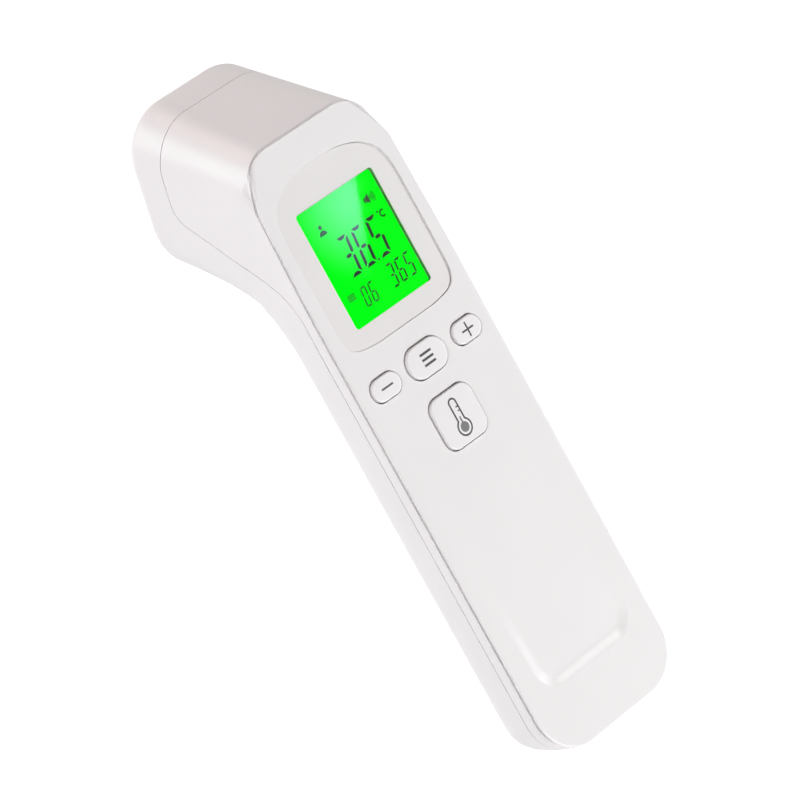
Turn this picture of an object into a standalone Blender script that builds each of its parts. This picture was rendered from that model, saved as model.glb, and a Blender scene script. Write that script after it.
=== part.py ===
"""Infrared forehead thermometer, modelled as the pieces it comes apart into.

Shapes are drawn in millimetres in the handle's own frame: x to the right of the face, y up the
handle towards the head, z out of the face, with the origin at the middle of the display. A parent
empty lays the whole object on its back, resting on the nose and on the handle's end.
"""
import math

import bmesh
import bpy
from mathutils import Matrix, Vector

MM = 0.001
GAP = 0.3
FAR = 90.0

# Body form
HALF_WIDTH = 21.3
HANDLE_DEPTH = 20.8
HANDLE_END = -118.2
FACE_EDGE_RADIUS = 1.0
BACK_EDGE_RADIUS = 14.1
END_PLAN_RADIUS = 10.4
END_SIDE_RADIUS = 6.8
NECK_START = -14.2
HEAD_CORNER = (29.8, 0.65)
HEAD_HALF_WIDTH = 20.3
HEAD_EDGE_RADIUS = 9.8
HEAD_EDGE_RAMP = 11.0
HEAD_TOP_LENGTH = 34.7
HEAD_TOP_ANGLE = math.radians(31.0)
RIM_HALF_WIDTH = 19.5
RIM_HEIGHT = 40.0
RIM_ANGLE = math.radians(19.0)
RIM_TOP_RADIUS = 11.8
RIM_BOTTOM_RADIUS = 13.3
RIM_ROUNDING = 3.5
UNDERSIDE_ANGLE = math.radians(31.3)
NECK_PULL = 5.7
UNDERSIDE_PULL = 28.1
FAN_START = 0.3
FAN_END = 0.6
PIVOT_RADIUS = 0.4
SHARP_RADIUS = 0.3
WALL = 2.0

# Parting lines
COVER_THICKNESS = 1.8
COVER_EDGE = 0.3
COVER_STEP = 1.3
GROOVE_WIDTH = 0.6
LIP_INSET = 2.6
LIP_BACK = -3.0
LIP_TOP = 5.0
SEAM_DEPTH = 3.8
SEAM_NOSE_SETBACK = 7.6
SEAM_NECK_Y = -1.8
SEAM_SLOPE = math.radians(45.0)
SEAM_NECK_RADIUS = 15.0
SEAM_NOSE_RADIUS = 6.0

# Window and display
WINDOW_HALF_WIDTH = 17.35
WINDOW_CENTRE_Y = 1.2
WINDOW_UPPER = (20.7, 5.7, 0.19)
WINDOW_LOWER = (19.9, 9.9, 0.068)
WINDOW_TOP = -0.15
WINDOW_THICKNESS = 1.0
WINDOW_POCKET = -1.5
WINDOW_LEDGE = 1.2
LCD_HALF = (13.4, 16.2)
LCD_CENTRE = (0.0, -0.4)
LCD_CLEARANCE = 0.4
LCD_FRONT = -1.45
LCD_BACK = -4.4
BACKLIGHT_BACK = -7.2
CONTACT_STRIP_Y = (-16.4, -14.4)
CONTACT_STRIP_HALF = 12.0
TRAY_WALL = 0.9
TRAY_FRONT = -3.4
TRAY_FLOOR = (-8.5, -7.5)

# Keys: centre of each, then half size and corner radius of its hole in the cover
SMALL_KEY = ((4.5, 2.9), 2.85)
MODE_KEY = ((6.2, 4.0), 3.95)
MEASURE_KEY = ((6.7, 6.45), 3.3)
KEY_ROW_Y = -27.5
KEY_SPACING = 13.1
KEYS = {
    "minus": ((-KEY_SPACING, KEY_ROW_Y), *SMALL_KEY),
    "mode": ((0.0, KEY_ROW_Y), *MODE_KEY),
    "plus": ((KEY_SPACING, KEY_ROW_Y), *SMALL_KEY),
    "measure": ((0.0, -42.1), *MEASURE_KEY),
}
KEY_TOP = 0.7
KEY_EDGE = 0.5
KEY_FLANGE = 1.0
KEY_FLANGE_Z = (-4.2, -3.3)
KEY_FOOT = -5.2
KEY_FOOT_RADIUS = 1.8
HOLE_CHAMFER = 0.1

# Thumb scoop in the cover: it is deepest at its lower end and runs out towards the keys
SCOOP_Y = (-104.6, -70.0)
SCOOP_HALF = (15.2, 17.6)
SCOOP_CORNER = 5.0
SCOOP_DEPTH = 1.0
SCOOP_SLOPE = 2.0

# Circuit board and what sits on it
BOARD_HALF_WIDTH = 16.5
BOARD_Y = (-54.0, 26.2)
BOARD_CORNER = 3.0
BOARD_FRONT = -10.0
BOARD_BACK = -11.2
BOARD_SCREW_HOLE = 1.1
BOARD_SCREW_PLACES = ((-11.0, 23.5), (11.0, 23.5), (-14.0, -50.5), (14.0, -50.5))
BOSS_RADIUS = 2.0
BOSS_HOLE = 1.05
BOSS_HOLE_END = -4.5
SWITCH_HALF = 3.0
SWITCH_TOP = -6.6
SWITCH_WELL = (1.9, -9.0)
STEM_RADIUS = 1.5
STEM_BACK = -8.0
CHIP_CENTRE = (6.0, -20.0)
CHIP_HALF = 5.0
CHIP_HEIGHT = 1.4
BUZZER_CENTRE = (-8.5, -32.0)
BUZZER_RADIUS = 6.0
BUZZER_HEIGHT = 4.5
BUZZER_VENT = 1.2

# Cells, their bay and its door
CELL_RADIUS = 5.25
CELL_LENGTH = 44.5
CELL_EDGE = 0.5
NUB_RADIUS = 1.9
NUB_LENGTH = 0.9
CELL_X = 5.75
CELL_Z = -12.3
BAY_HALF_WIDTH = 11.4
BAY_WALL = 1.3
BAY_Y = (-112.0, -60.3)
BAY_FLOOR = (-6.7, -5.5)
BAY_WALL_BACK = -15.0
BAY_WEB = (20.0, -107.0)
DOOR_HALF_WIDTH = 13.0
DOOR_TOP = -60.6
DOOR_FRONT = -13.0
GRIP_COUNT = 5
GRIP_HALF = (6.0, 0.5)
GRIP_DEPTH = 0.5
GRIP_PITCH = 2.4
GRIP_START = -66.0
PLATE_THICKNESS = 0.4
PLATE_HALF = 4.2
SPRING_WIRE = 0.35
SPRING_TURNS = 3.5
SPRING_RADII = (3.6, 2.3)
SPRING_TURN_POINTS = 10
LEAST_SPRING_GAP = 0.4
LEAD_RADIUS = 0.6
LEAD_HOLE = 1.0
LEAD_X = 9.0
LEAD_ROUTE = ((-60.3, -9.2), (-58.4, -9.2), (-56.4, -11.0), (-54.8, -13.2), (-52.8, -14.2),
              (-51.0, -13.4), (-50.6, -11.5))

# Screws: head radius, head height and shank radius
BOARD_SCREW = (1.9, 1.2, 0.75)
BOARD_SCREW_TIP = -5.5
CASE_SCREW = (2.1, 1.7, 0.95)
CASE_SCREW_TIP = -4.0
CASE_SCREW_PLACE = (0.0, -56.6)
CASE_BOSS = (2.2, -5.7)
CASE_POST = (2.2, -6.0)
CASE_POST_FOOT = (3.6, -14.0)
CASE_POST_HOLE = 1.35
CASE_HOLE_END = -3.6
COUNTERBORE = (2.5, -18.2)
SLOT_WIDTH = 0.7
SLOT_DEPTH = 0.7

# Sensor: radii about the nose's axis, with heights measured outwards from the nose's end face
SENSOR_HOLE = 10.3
BEZEL_PROFILE = ((9.2, -0.2), (10.0, -0.2), (10.0, -2.3), (12.0, -2.3), (12.0, -3.6),
                 (8.0, -3.6), (8.0, -7.5), (6.2, -7.5))
SLEEVE_PROFILE = ((6.0, -7.8), (7.6, -7.8), (7.6, -15.5), (5.0, -15.5), (5.0, -9.2))
HOLDER_PROFILE = ((8.3, -3.9), (12.0, -3.9), (12.0, -5.2), (10.0, -5.2), (10.0, -15.0), (8.3, -15.0))
CAN_PROFILE = ((0.0, -10.8), (2.6, -10.8), (2.6, -10.0), (4.1, -10.0), (4.1, -14.3),
               (4.6, -14.3), (4.6, -14.9), (0.0, -14.9))
FILTER_PROFILE = ((0.0, -10.15), (2.3, -10.15), (2.3, -10.5), (0.0, -10.5))
SENSOR_BOARD_PROFILE = ((0.0, -15.8), (9.0, -15.8), (9.0, -16.8), (0.0, -16.8))
PIN_COUNT = 4
PIN_CIRCLE = 2.5
PIN_RADIUS = 0.25
PIN_HOLE = 0.6
PIN_SPAN = (-17.6, -14.6)
RIBBON_HALF = (3.0, 0.2)
RIBBON_START = (6.0, -17.1)
RIBBON_LANDING_Y = 14.0
RIBBON_PULL = 5.0

# Fineness of the curved skins
CORNER_STEPS = 5
END_STEPS = 5
NECK_STEPS = 14
RIM_STEPS = 4
SEAM_STEPS = 6
WINDOW_STEPS = 40
ROUND_STEPS = 24
SMALL_ROUND_STEPS = 12
RIBBON_STEPS = 10


def clear_scene():
    for old in list(bpy.data.objects):
        bpy.data.objects.remove(old)


def material(name, colour, roughness, metallic=0.0):
    result = bpy.data.materials.new(name)
    result.use_nodes = True
    shader = result.node_tree.nodes["Principled BSDF"]
    shader.inputs["Base Color"].default_value = (*colour, 1.0)
    shader.inputs["Roughness"].default_value = roughness
    shader.inputs["Metallic"].default_value = metallic
    return result


def solid(name, shape, finish=None):
    """Object from (points in mm, faces), with its faces turned outwards."""
    points, faces = shape
    mesh = bpy.data.meshes.new(name)
    mesh.from_pydata([[value * MM for value in point] for point in points], [], faces)
    work = bmesh.new()
    work.from_mesh(mesh)
    bmesh.ops.recalc_face_normals(work, faces=work.faces)
    work.to_mesh(mesh)
    work.free()
    if finish:
        mesh.materials.append(finish)
    result = bpy.data.objects.new(name, mesh)
    bpy.context.scene.collection.objects.link(result)
    return result


def combine(target, operation, *shapes):
    """Join, cut or intersect an object with each shape in turn."""
    for shape in shapes:
        tool = solid("tool", shape)
        modifier = target.modifiers.new("Boolean", "BOOLEAN")
        modifier.operation = operation
        modifier.object = tool
        graph = bpy.context.evaluated_depsgraph_get()
        mesh = bpy.data.meshes.new_from_object(target.evaluated_get(graph))
        target.modifiers.clear()
        target.data = mesh
        bpy.data.objects.remove(tool)


def common(first, second):
    """Shape that two shapes share."""
    piece = solid("common", first)
    combine(piece, "INTERSECT", second)
    points = [tuple(vertex.co / MM) for vertex in piece.data.vertices]
    faces = [tuple(polygon.vertices) for polygon in piece.data.polygons]
    bpy.data.objects.remove(piece)
    return points, faces


def smooth(piece):
    """Shade round surfaces smooth and keep the real edges sharp."""
    piece.data.shade_smooth()
    piece.data.set_sharp_from_angle(angle=math.radians(35.0))


# Outlines and simple shapes
def rounded_loop(half, radius, z, centre=(0.0, 0.0)):
    """Rounded rectangle, counter-clockwise."""
    loop = []
    for corner, (side_x, side_y) in enumerate(((1, 1), (-1, 1), (-1, -1), (1, -1))):
        for step in range(CORNER_STEPS + 1):
            angle = math.radians(90.0 * (corner + step / CORNER_STEPS))
            x = centre[0] + side_x * (half[0] - radius) + radius * math.cos(angle)
            y = centre[1] + side_y * (half[1] - radius) + radius * math.sin(angle)
            loop.append((x, y, z))
    return loop


def grown_loop(half, radius, grow, z, centre):
    return rounded_loop((half[0] + grow, half[1] + grow), radius + grow, z, centre)


def circle_loop(radius, z, centre=(0.0, 0.0), steps=ROUND_STEPS):
    turn = 2.0 * math.pi / steps
    return [(centre[0] + radius * math.cos(turn * step), centre[1] + radius * math.sin(turn * step), z)
            for step in range(steps)]


def window_loop(grow, z):
    """Window outline: each half has its own height, squareness and bow towards the middle."""
    loop = []
    for step in range(WINDOW_STEPS):
        angle = 2.0 * math.pi * (step + 0.5) / WINDOW_STEPS
        cosine = math.cos(angle)
        sine = math.sin(angle)
        height, power, bow = WINDOW_UPPER if sine > 0.0 else WINDOW_LOWER
        across = math.copysign(abs(cosine) ** (2.0 / power), cosine)
        along = math.copysign(abs(sine) ** (2.0 / power), sine) * (1.0 - bow * across ** 2)
        loop.append(((WINDOW_HALF_WIDTH + grow) * across, WINDOW_CENTRE_Y + (height + grow) * along, z))
    return loop


def loft(rings):
    """Skin over rings of equal length, closed by flat ends."""
    count = len(rings[0])
    points = [point for ring in rings for point in ring]
    faces = []
    for row in range(len(rings) - 1):
        low = row * count
        high = low + count
        for column in range(count):
            after = (column + 1) % count
            faces.append((low + column, low + after, high + after, high + column))
    faces.append(tuple(reversed(range(count))))
    faces.append(tuple(range(len(points) - count, len(points))))
    return points, faces


def box(x, y, z):
    """Box between two limits on each axis."""
    corners = ((x[0], y[0]), (x[1], y[0]), (x[1], y[1]), (x[0], y[1]))
    return loft([[(px, py, height) for px, py in corners] for height in z])


def block(half, centre, z):
    """Box about a centre, given its half size in x and y."""
    return box((centre[0] - half[0], centre[0] + half[0]), (centre[1] - half[1], centre[1] + half[1]), z)


def post(centre, radius, z, steps=ROUND_STEPS):
    return loft([circle_loop(radius, height, centre, steps) for height in z])


def turned(profile, steps=ROUND_STEPS):
    """Turn a (radius, height) profile about z: closed on itself, or from axis to axis."""
    points = []
    rows = []
    for radius, height in profile:
        count = steps if radius else 1
        rows.append([len(points) + step % count for step in range(steps)])
        points.extend(circle_loop(radius, height, steps=count))
    if profile[0][0]:
        rows.append(rows[0])
    faces = []
    for low, high in zip(rows, rows[1:]):
        for step in range(steps):
            after = (step + 1) % steps
            faces.append(tuple(dict.fromkeys((low[step], low[after], high[after], high[step]))))
    return points, faces


def moved(shape, matrix):
    points, faces = shape
    return [tuple(matrix @ Vector(point)) for point in points], faces


# Body form: a stack of rounded rectangles that fans from the handle into the head
def unit(angle):
    """Direction in the side view, at an angle above straight back through the handle."""
    return math.sin(angle), -math.cos(angle)


def mix(low, high, share):
    return low + (high - low) * share


def step_along(start, direction, distance):
    return start[0] + direction[0] * distance, start[1] + direction[1] * distance


def towards(start, end, distance):
    share = distance / math.dist(start, end)
    return mix(start[0], end[0], share), mix(start[1], end[1], share)


def bezier(points, share):
    """Point on a cubic curve in the side view."""
    rest = 1.0 - share
    weights = (rest ** 3, 3.0 * share * rest ** 2, 3.0 * share ** 2 * rest, share ** 3)
    return tuple(sum(weight * point[axis] for weight, point in zip(weights, points)) for axis in (0, 1))


RIM_TOP = step_along(HEAD_CORNER, unit(HEAD_TOP_ANGLE), HEAD_TOP_LENGTH)
RIM_OUT = unit(RIM_ANGLE)
RIM_DOWN = (-math.cos(RIM_ANGLE), -math.sin(RIM_ANGLE))
RIM_BOTTOM = step_along(RIM_TOP, RIM_DOWN, RIM_HEIGHT)
NOSE_CENTRE = step_along(step_along(RIM_TOP, RIM_DOWN, RIM_HEIGHT / 2.0), RIM_OUT, RIM_ROUNDING)
SENSOR_FRAME = Matrix.Translation((0.0, *NOSE_CENTRE)) @ Matrix.Rotation(math.pi + RIM_ANGLE, 4, "X")
ALONG_HANDLE = Matrix.Rotation(math.radians(-90.0), 4, "X")


def handle_stations(inset):
    """Front point, back point, half width, front and back edge radius of each handle section."""
    plan = END_PLAN_RADIUS - inset
    side = END_SIDE_RADIUS - inset
    stations = []
    for step in range(END_STEPS + 1):
        angle = math.radians(90.0 * step / END_STEPS)
        rise = plan * (1.0 - math.cos(angle))
        drawn_in = side - math.sqrt(side ** 2 - (side - min(rise, side)) ** 2)
        half = HALF_WIDTH - plan * (1.0 - math.sin(angle))
        y = HANDLE_END + inset + rise
        stations.append(((y, 0.0), (y, drawn_in - HANDLE_DEPTH), half, FACE_EDGE_RADIUS, BACK_EDGE_RADIUS))
    back = (NECK_START, -HANDLE_DEPTH)
    stations.append(((NECK_START, 0.0), back, HALF_WIDTH, FACE_EDGE_RADIUS, BACK_EDGE_RADIUS))
    return stations


def head_stations():
    """The same from the neck to the nose's rim."""
    neck = ((NECK_START, -HANDLE_DEPTH), (NECK_START + NECK_PULL, -HANDLE_DEPTH),
            step_along(RIM_BOTTOM, unit(UNDERSIDE_ANGLE), -UNDERSIDE_PULL), RIM_BOTTOM)
    stations = []
    for step in range(1, NECK_STEPS + 1):
        share = step / NECK_STEPS
        to_corner = min(share / FAN_START, 1.0)
        to_rim = max(share - FAN_END, 0.0) / (1.0 - FAN_END)
        on_face = (mix(NECK_START, HEAD_CORNER[0], to_corner), mix(0.0, HEAD_CORNER[1], to_corner))
        front = step_along(on_face, unit(HEAD_TOP_ANGLE), HEAD_TOP_LENGTH * to_rim)
        back = bezier(neck, share)
        ease = to_corner ** 2 * (3.0 - 2.0 * to_corner)
        half = mix(mix(HALF_WIDTH, HEAD_HALF_WIDTH, ease), RIM_HALF_WIDTH, to_rim)
        ramp = max(0.0, 1.0 - (HEAD_CORNER[0] - on_face[0]) / HEAD_EDGE_RAMP)
        front_radius = mix(FACE_EDGE_RADIUS, mix(HEAD_EDGE_RADIUS, RIM_TOP_RADIUS, to_rim), ramp)
        back_radius = mix(BACK_EDGE_RADIUS, RIM_BOTTOM_RADIUS, share)
        stations.append((towards(front, back, PIVOT_RADIUS * to_corner), back, half, front_radius, back_radius))
    return stations


def rim_stations(inset):
    """The rounded rim and the flat end of the nose."""
    rounding = RIM_ROUNDING - inset
    stations = []
    for step in range(1, RIM_STEPS + 1):
        angle = math.radians(90.0 * step / RIM_STEPS)
        drawn_in = rounding * (1.0 - math.cos(angle))
        edge = step_along(RIM_TOP, RIM_OUT, rounding * math.sin(angle))
        front = step_along(edge, RIM_DOWN, PIVOT_RADIUS + drawn_in)
        back = step_along(edge, RIM_DOWN, RIM_HEIGHT - drawn_in)
        stations.append((front, back, RIM_HALF_WIDTH - drawn_in,
                         RIM_TOP_RADIUS - drawn_in, RIM_BOTTOM_RADIUS - drawn_in))
    return stations


def section_ring(station, inset):
    """Rounded rectangle between a front and a back point of the side view, set in all round."""
    front, back, half, front_radius, back_radius = station
    front = towards(front, back, inset)
    length = math.dist(front, back) - inset
    half -= inset
    front_radius = max(front_radius - inset, SHARP_RADIUS)
    back_radius = min(back_radius - inset, half - SHARP_RADIUS, length - front_radius - SHARP_RADIUS)
    corners = ((1, front_radius, front_radius, -90.0), (1, length - back_radius, back_radius, 0.0),
               (-1, length - back_radius, back_radius, 90.0), (-1, front_radius, front_radius, 180.0))
    ring = []
    for side, depth, radius, start in corners:
        for step in range(CORNER_STEPS + 1):
            angle = math.radians(start + 90.0 * step / CORNER_STEPS)
            y, z = towards(front, back, depth + radius * math.sin(angle))
            ring.append((side * (half - radius) + radius * math.cos(angle), y, z))
    return ring


def body_form(inset):
    """The whole body as one solid, set in from its outer skin."""
    stations = handle_stations(inset) + head_stations() + rim_stations(inset)
    return loft([section_ring(station, inset) for station in stations])


def handle_lip():
    """Plate under the handle's part of the cover, clear of the case walls."""
    half = HALF_WIDTH - LIP_INSET
    reach = HANDLE_END + LIP_INSET
    middle = ((LIP_TOP - reach) / 2.0, (LIP_TOP + reach) / 2.0)
    corner = END_PLAN_RADIUS - LIP_INSET
    return loft([rounded_loop((half, middle[0]), corner, z, (0.0, middle[1])) for z in (LIP_BACK, -1.0)])


# Parting line between the two case halves, drawn in the side view
def filleted(points, radii):
    """Polyline whose inner corners are rounded."""
    line = [points[0]]
    for before, corner, after, radius in zip(points, points[1:], points[2:], radii):
        into = (Vector(before) - Vector(corner)).normalized()
        out = (Vector(after) - Vector(corner)).normalized()
        half_angle = into.angle(out) / 2.0
        tangent = radius / math.tan(half_angle)
        centre = Vector(corner) + (into + out).normalized() * (radius / math.sin(half_angle))
        first = Vector(corner) + into * tangent - centre
        last = Vector(corner) + out * tangent - centre
        for step in range(SEAM_STEPS + 1):
            line.append(tuple(centre + first.slerp(last, step / SEAM_STEPS) * radius))
    line.append(points[-1])
    return line


def shifted(line, distance):
    """Polyline moved sideways, to the right of its direction."""
    result = []
    for index, point in enumerate(line):
        ahead = Vector(line[min(index + 1, len(line) - 1)]) - Vector(line[max(index - 1, 0)])
        ahead.normalize()
        result.append((point[0] + ahead.y * distance, point[1] - ahead.x * distance))
    return result


def rear_region(shift):
    """Everything behind the parting line, as a block across the body."""
    neck = Vector((SEAM_NECK_Y, -SEAM_DEPTH))
    slope = Vector((math.cos(SEAM_SLOPE), -math.sin(SEAM_SLOPE)))
    on_nose = Vector(step_along(RIM_TOP, RIM_OUT, -SEAM_NOSE_SETBACK))
    distance = (on_nose - neck).dot(Vector(RIM_OUT)) / slope.dot(Vector(RIM_OUT))
    nose = tuple(neck + slope * distance)
    start = (HANDLE_END - FAR, -SEAM_DEPTH)
    end = step_along(nose, RIM_DOWN, -FAR)
    line = filleted([start, tuple(neck), nose, end], (SEAM_NECK_RADIUS, SEAM_NOSE_RADIUS))
    outline = shifted(line, shift) + [(2.0 * FAR, -FAR), (start[0], -FAR)]
    return loft([[(x, y, z) for y, z in outline] for x in (-FAR, FAR)])


# Case pieces
def key_hole(key):
    """Cutter for a key's hole, flared a little at the face."""
    centre, half, radius = key
    rings = ((1.0 + HOLE_CHAMFER, 1.0), (0.0, -HOLE_CHAMFER), (0.0, LIP_BACK - 1.0))
    return loft([grown_loop(half, radius, grow, z, centre) for grow, z in rings])


def scoop_floor(y):
    return -SCOOP_DEPTH * (SCOOP_Y[1] - y) / (SCOOP_Y[1] - SCOOP_Y[0])


def scoop():
    """Cutter for the thumb scoop: a floor that slopes down the handle, inside flared walls."""
    low, high = SCOOP_Y
    past = high + SCOOP_CORNER
    edge = [(-SCOOP_HALF[1], past, -1.0, 0.0)]
    for side, start in ((-1, 180.0), (1, 270.0)):
        for step in range(CORNER_STEPS + 1):
            angle = math.radians(start + 90.0 * step / CORNER_STEPS)
            x = side * (SCOOP_HALF[0] - SCOOP_CORNER) + SCOOP_CORNER * math.cos(angle)
            y = low + SCOOP_CORNER * (1.0 + math.sin(angle))
            edge.append((x, y, math.cos(angle), math.sin(angle)))
    edge.append((SCOOP_HALF[1], past, 1.0, 0.0))
    floor = []
    above = []
    for x, y, out_x, out_y in edge:
        inwards = SCOOP_SLOPE * scoop_floor(y)
        y_floor = y + out_y * inwards
        floor.append((x + out_x * inwards, y_floor, scoop_floor(y_floor)))
        above.append((x + out_x * SCOOP_SLOPE, y + out_y * SCOOP_SLOPE, 1.0))
    return loft([floor, above])


def layer(z):
    """Slice across the whole body between two heights."""
    return box((-FAR, FAR), (-2.0 * FAR, FAR), z)


def drawn_in_form(inset):
    """The body's form, its outline drawn in towards the middle of the face."""
    middle = (HEAD_CORNER[0] + HANDLE_END) / 2.0
    reach = HEAD_CORNER[0] - middle
    place = Matrix.Translation((0.0, middle, 0.0))
    shrink = Matrix.Diagonal((1.0 - inset / HALF_WIDTH, 1.0 - inset / reach, 1.0, 1.0))
    return moved(body_form(0.0), place @ shrink @ place.inverted())


def make_front_cover(finish):
    cover = solid("front_cover", body_form(0.0), finish)
    combine(cover, "INTERSECT", layer((-COVER_EDGE, 0.0)))
    combine(cover, "UNION", common(drawn_in_form(COVER_STEP), layer((-COVER_THICKNESS, -COVER_EDGE / 2.0))))
    pad = loft([window_loop(WINDOW_LEDGE, LIP_BACK), window_loop(WINDOW_LEDGE, -1.0)])
    combine(cover, "UNION", handle_lip(), pad)
    for place in BOARD_SCREW_PLACES:
        combine(cover, "UNION", post(place, BOSS_RADIUS, (BOARD_FRONT + GAP, -1.2)))
    combine(cover, "UNION", post(CASE_SCREW_PLACE, CASE_BOSS[0], (CASE_BOSS[1], -1.2)))
    opening = (LCD_HALF[0] + LCD_CLEARANCE, LCD_HALF[1] + LCD_CLEARANCE)
    combine(cover, "DIFFERENCE", loft([window_loop(GAP, WINDOW_POCKET), window_loop(GAP, 1.0)]),
            block(opening, LCD_CENTRE, (LIP_BACK - 1.0, 1.0)))
    combine(cover, "DIFFERENCE", scoop(), *[key_hole(key) for key in KEYS.values()])
    for place in BOARD_SCREW_PLACES:
        combine(cover, "DIFFERENCE", post(place, BOSS_HOLE, (BOARD_BACK, BOSS_HOLE_END)))
    combine(cover, "DIFFERENCE", post(CASE_SCREW_PLACE, CASE_POST_HOLE, (CASE_POST[1], CASE_HOLE_END)))
    return cover


def hollow_body(name, finish):
    body = solid(name, body_form(0.0), finish)
    combine(body, "DIFFERENCE", body_form(WALL))
    return body


def make_middle_housing(finish):
    housing = hollow_body("middle_housing", finish)
    rebate = common(drawn_in_form(COVER_STEP - GAP), layer((-COVER_THICKNESS - GAP, FAR)))
    above = layer((-COVER_EDGE - GROOVE_WIDTH, FAR))
    combine(housing, "DIFFERENCE", rebate, above, rear_region(-GAP / 2.0))
    return housing


def door_region(grow):
    x = DOOR_HALF_WIDTH + grow
    return box((-x, x), (-2.0 * FAR, DOOR_TOP + grow), (-FAR, DOOR_FRONT + grow))


def make_rear_housing(finish):
    housing = hollow_body("rear_housing", finish)
    combine(housing, "INTERSECT", rear_region(GAP / 2.0))
    combine(housing, "DIFFERENCE", door_region(GAP))
    combine(housing, "DIFFERENCE", moved(post((0.0, 0.0), SENSOR_HOLE, (-2.0 * WALL, WALL)), SENSOR_FRAME))
    outer = BAY_HALF_WIDTH + BAY_WALL
    ends = (BAY_Y[0] - BAY_WALL, BAY_Y[1] + BAY_WALL)
    into_back = WALL / 2.0 - HANDLE_DEPTH
    combine(housing, "UNION",
            box((-outer, outer), ends, (BAY_WALL_BACK, BAY_FLOOR[1])),
            box((-BAY_WEB[0], BAY_WEB[0]), (BAY_WEB[1], BAY_Y[1]), BAY_FLOOR),
            box((-outer, outer), (BAY_Y[1], ends[1]), (into_back, BAY_FLOOR[1])),
            post(CASE_SCREW_PLACE, CASE_POST_FOOT[0], (into_back, CASE_POST_FOOT[1])),
            post(CASE_SCREW_PLACE, CASE_POST[0], (into_back, CASE_POST[1])))
    combine(housing, "DIFFERENCE",
            box((-BAY_HALF_WIDTH, BAY_HALF_WIDTH), BAY_Y, (BAY_WALL_BACK - 1.0, BAY_FLOOR[0])),
            post(CASE_SCREW_PLACE, CASE_POST_HOLE, (-FAR, 0.0)),
            post(CASE_SCREW_PLACE, COUNTERBORE[0], (-FAR, COUNTERBORE[1])))
    for side in (-1.0, 1.0):
        through = Matrix.Translation((side * LEAD_X, BAY_Y[1] - 1.0, LEAD_ROUTE[0][1])) @ ALONG_HANDLE
        hole = post((0.0, 0.0), LEAD_HOLE, (0.0, BAY_WALL + 2.0), SMALL_ROUND_STEPS)
        combine(housing, "DIFFERENCE", moved(hole, through))
    return housing


def make_battery_door(finish):
    door = hollow_body("battery_door", finish)
    combine(door, "INTERSECT", door_region(0.0))
    for index in range(GRIP_COUNT):
        centre = (0.0, GRIP_START - GRIP_PITCH * index)
        combine(door, "DIFFERENCE", block(GRIP_HALF, centre, (-FAR, GRIP_DEPTH - HANDLE_DEPTH)))
    return door


def make_window(finish):
    back = WINDOW_TOP - WINDOW_THICKNESS
    edge = 0.25
    rings = ((0.0, back), (0.0, WINDOW_TOP - edge), (-edge, WINDOW_TOP))
    return solid("window_lens", loft([window_loop(grow, z) for grow, z in rings]), finish)


# Keys and their switches
def make_key(name, key, finish):
    """Key with a softly domed top, a flange under the cover and a foot over its switch."""
    centre, half, radius = key
    foot = (KEY_FOOT_RADIUS, KEY_FOOT_RADIUS)
    foot_corner = KEY_FOOT_RADIUS - 0.05
    rings = [rounded_loop(foot, foot_corner, z, centre) for z in (KEY_FOOT, KEY_FLANGE_Z[0])]
    rings += [grown_loop(half, radius, KEY_FLANGE, z, centre) for z in KEY_FLANGE_Z]
    cap = ((-GAP, KEY_FLANGE_Z[1]), (-GAP, KEY_TOP - KEY_EDGE), (-GAP - 0.15, KEY_TOP - 0.15),
           (-GAP - KEY_EDGE, KEY_TOP))
    rings += [grown_loop(half, radius, grow, z, centre) for grow, z in cap]
    return solid(name + "_button", loft(rings), finish)


def make_switch(name, key, finishes):
    centre = key[0]
    body = solid(name + "_switch", block((SWITCH_HALF, SWITCH_HALF), centre, (BOARD_FRONT + GAP, SWITCH_TOP)),
                 finishes["switch_steel"])
    combine(body, "DIFFERENCE", post(centre, SWITCH_WELL[0], (SWITCH_WELL[1], 0.0), SMALL_ROUND_STEPS))
    stem = solid(name + "_stem", post(centre, STEM_RADIUS, (STEM_BACK, KEY_FOOT - GAP), SMALL_ROUND_STEPS),
                 finishes["switch_black"])
    return [body, stem]


# Display
def make_display(finishes):
    glass = solid("lcd_glass", block(LCD_HALF, LCD_CENTRE, (LCD_BACK, LCD_FRONT)), finishes["lcd_green"])
    upper = LCD_CENTRE[1] + LCD_HALF[1]
    light = solid("backlight", box((-LCD_HALF[0], LCD_HALF[0]), (CONTACT_STRIP_Y[1] + GAP, upper),
                                   (BACKLIGHT_BACK, LCD_BACK - GAP)), finishes["light_plate"])
    inner = (LCD_HALF[0] + GAP, LCD_HALF[1] + GAP)
    outer = (inner[0] + TRAY_WALL, inner[1] + TRAY_WALL)
    tray = solid("lcd_frame", block(outer, LCD_CENTRE, (BOARD_FRONT + GAP, TRAY_FRONT)), finishes["white"])
    slot = (CONTACT_STRIP_HALF + GAP, CONTACT_STRIP_Y[0] - GAP, CONTACT_STRIP_Y[1] + GAP)
    combine(tray, "DIFFERENCE", block(inner, LCD_CENTRE, (TRAY_FLOOR[1], 0.0)),
            block(inner, LCD_CENTRE, (BOARD_BACK, TRAY_FLOOR[0])),
            box((-slot[0], slot[0]), slot[1:], (BOARD_BACK, 0.0)))
    strip = solid("contact_strip", box((-CONTACT_STRIP_HALF, CONTACT_STRIP_HALF), CONTACT_STRIP_Y,
                                       (BOARD_FRONT + GAP, LCD_BACK - GAP)), finishes["contact_rubber"])
    return [glass, light, tray, strip]


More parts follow.
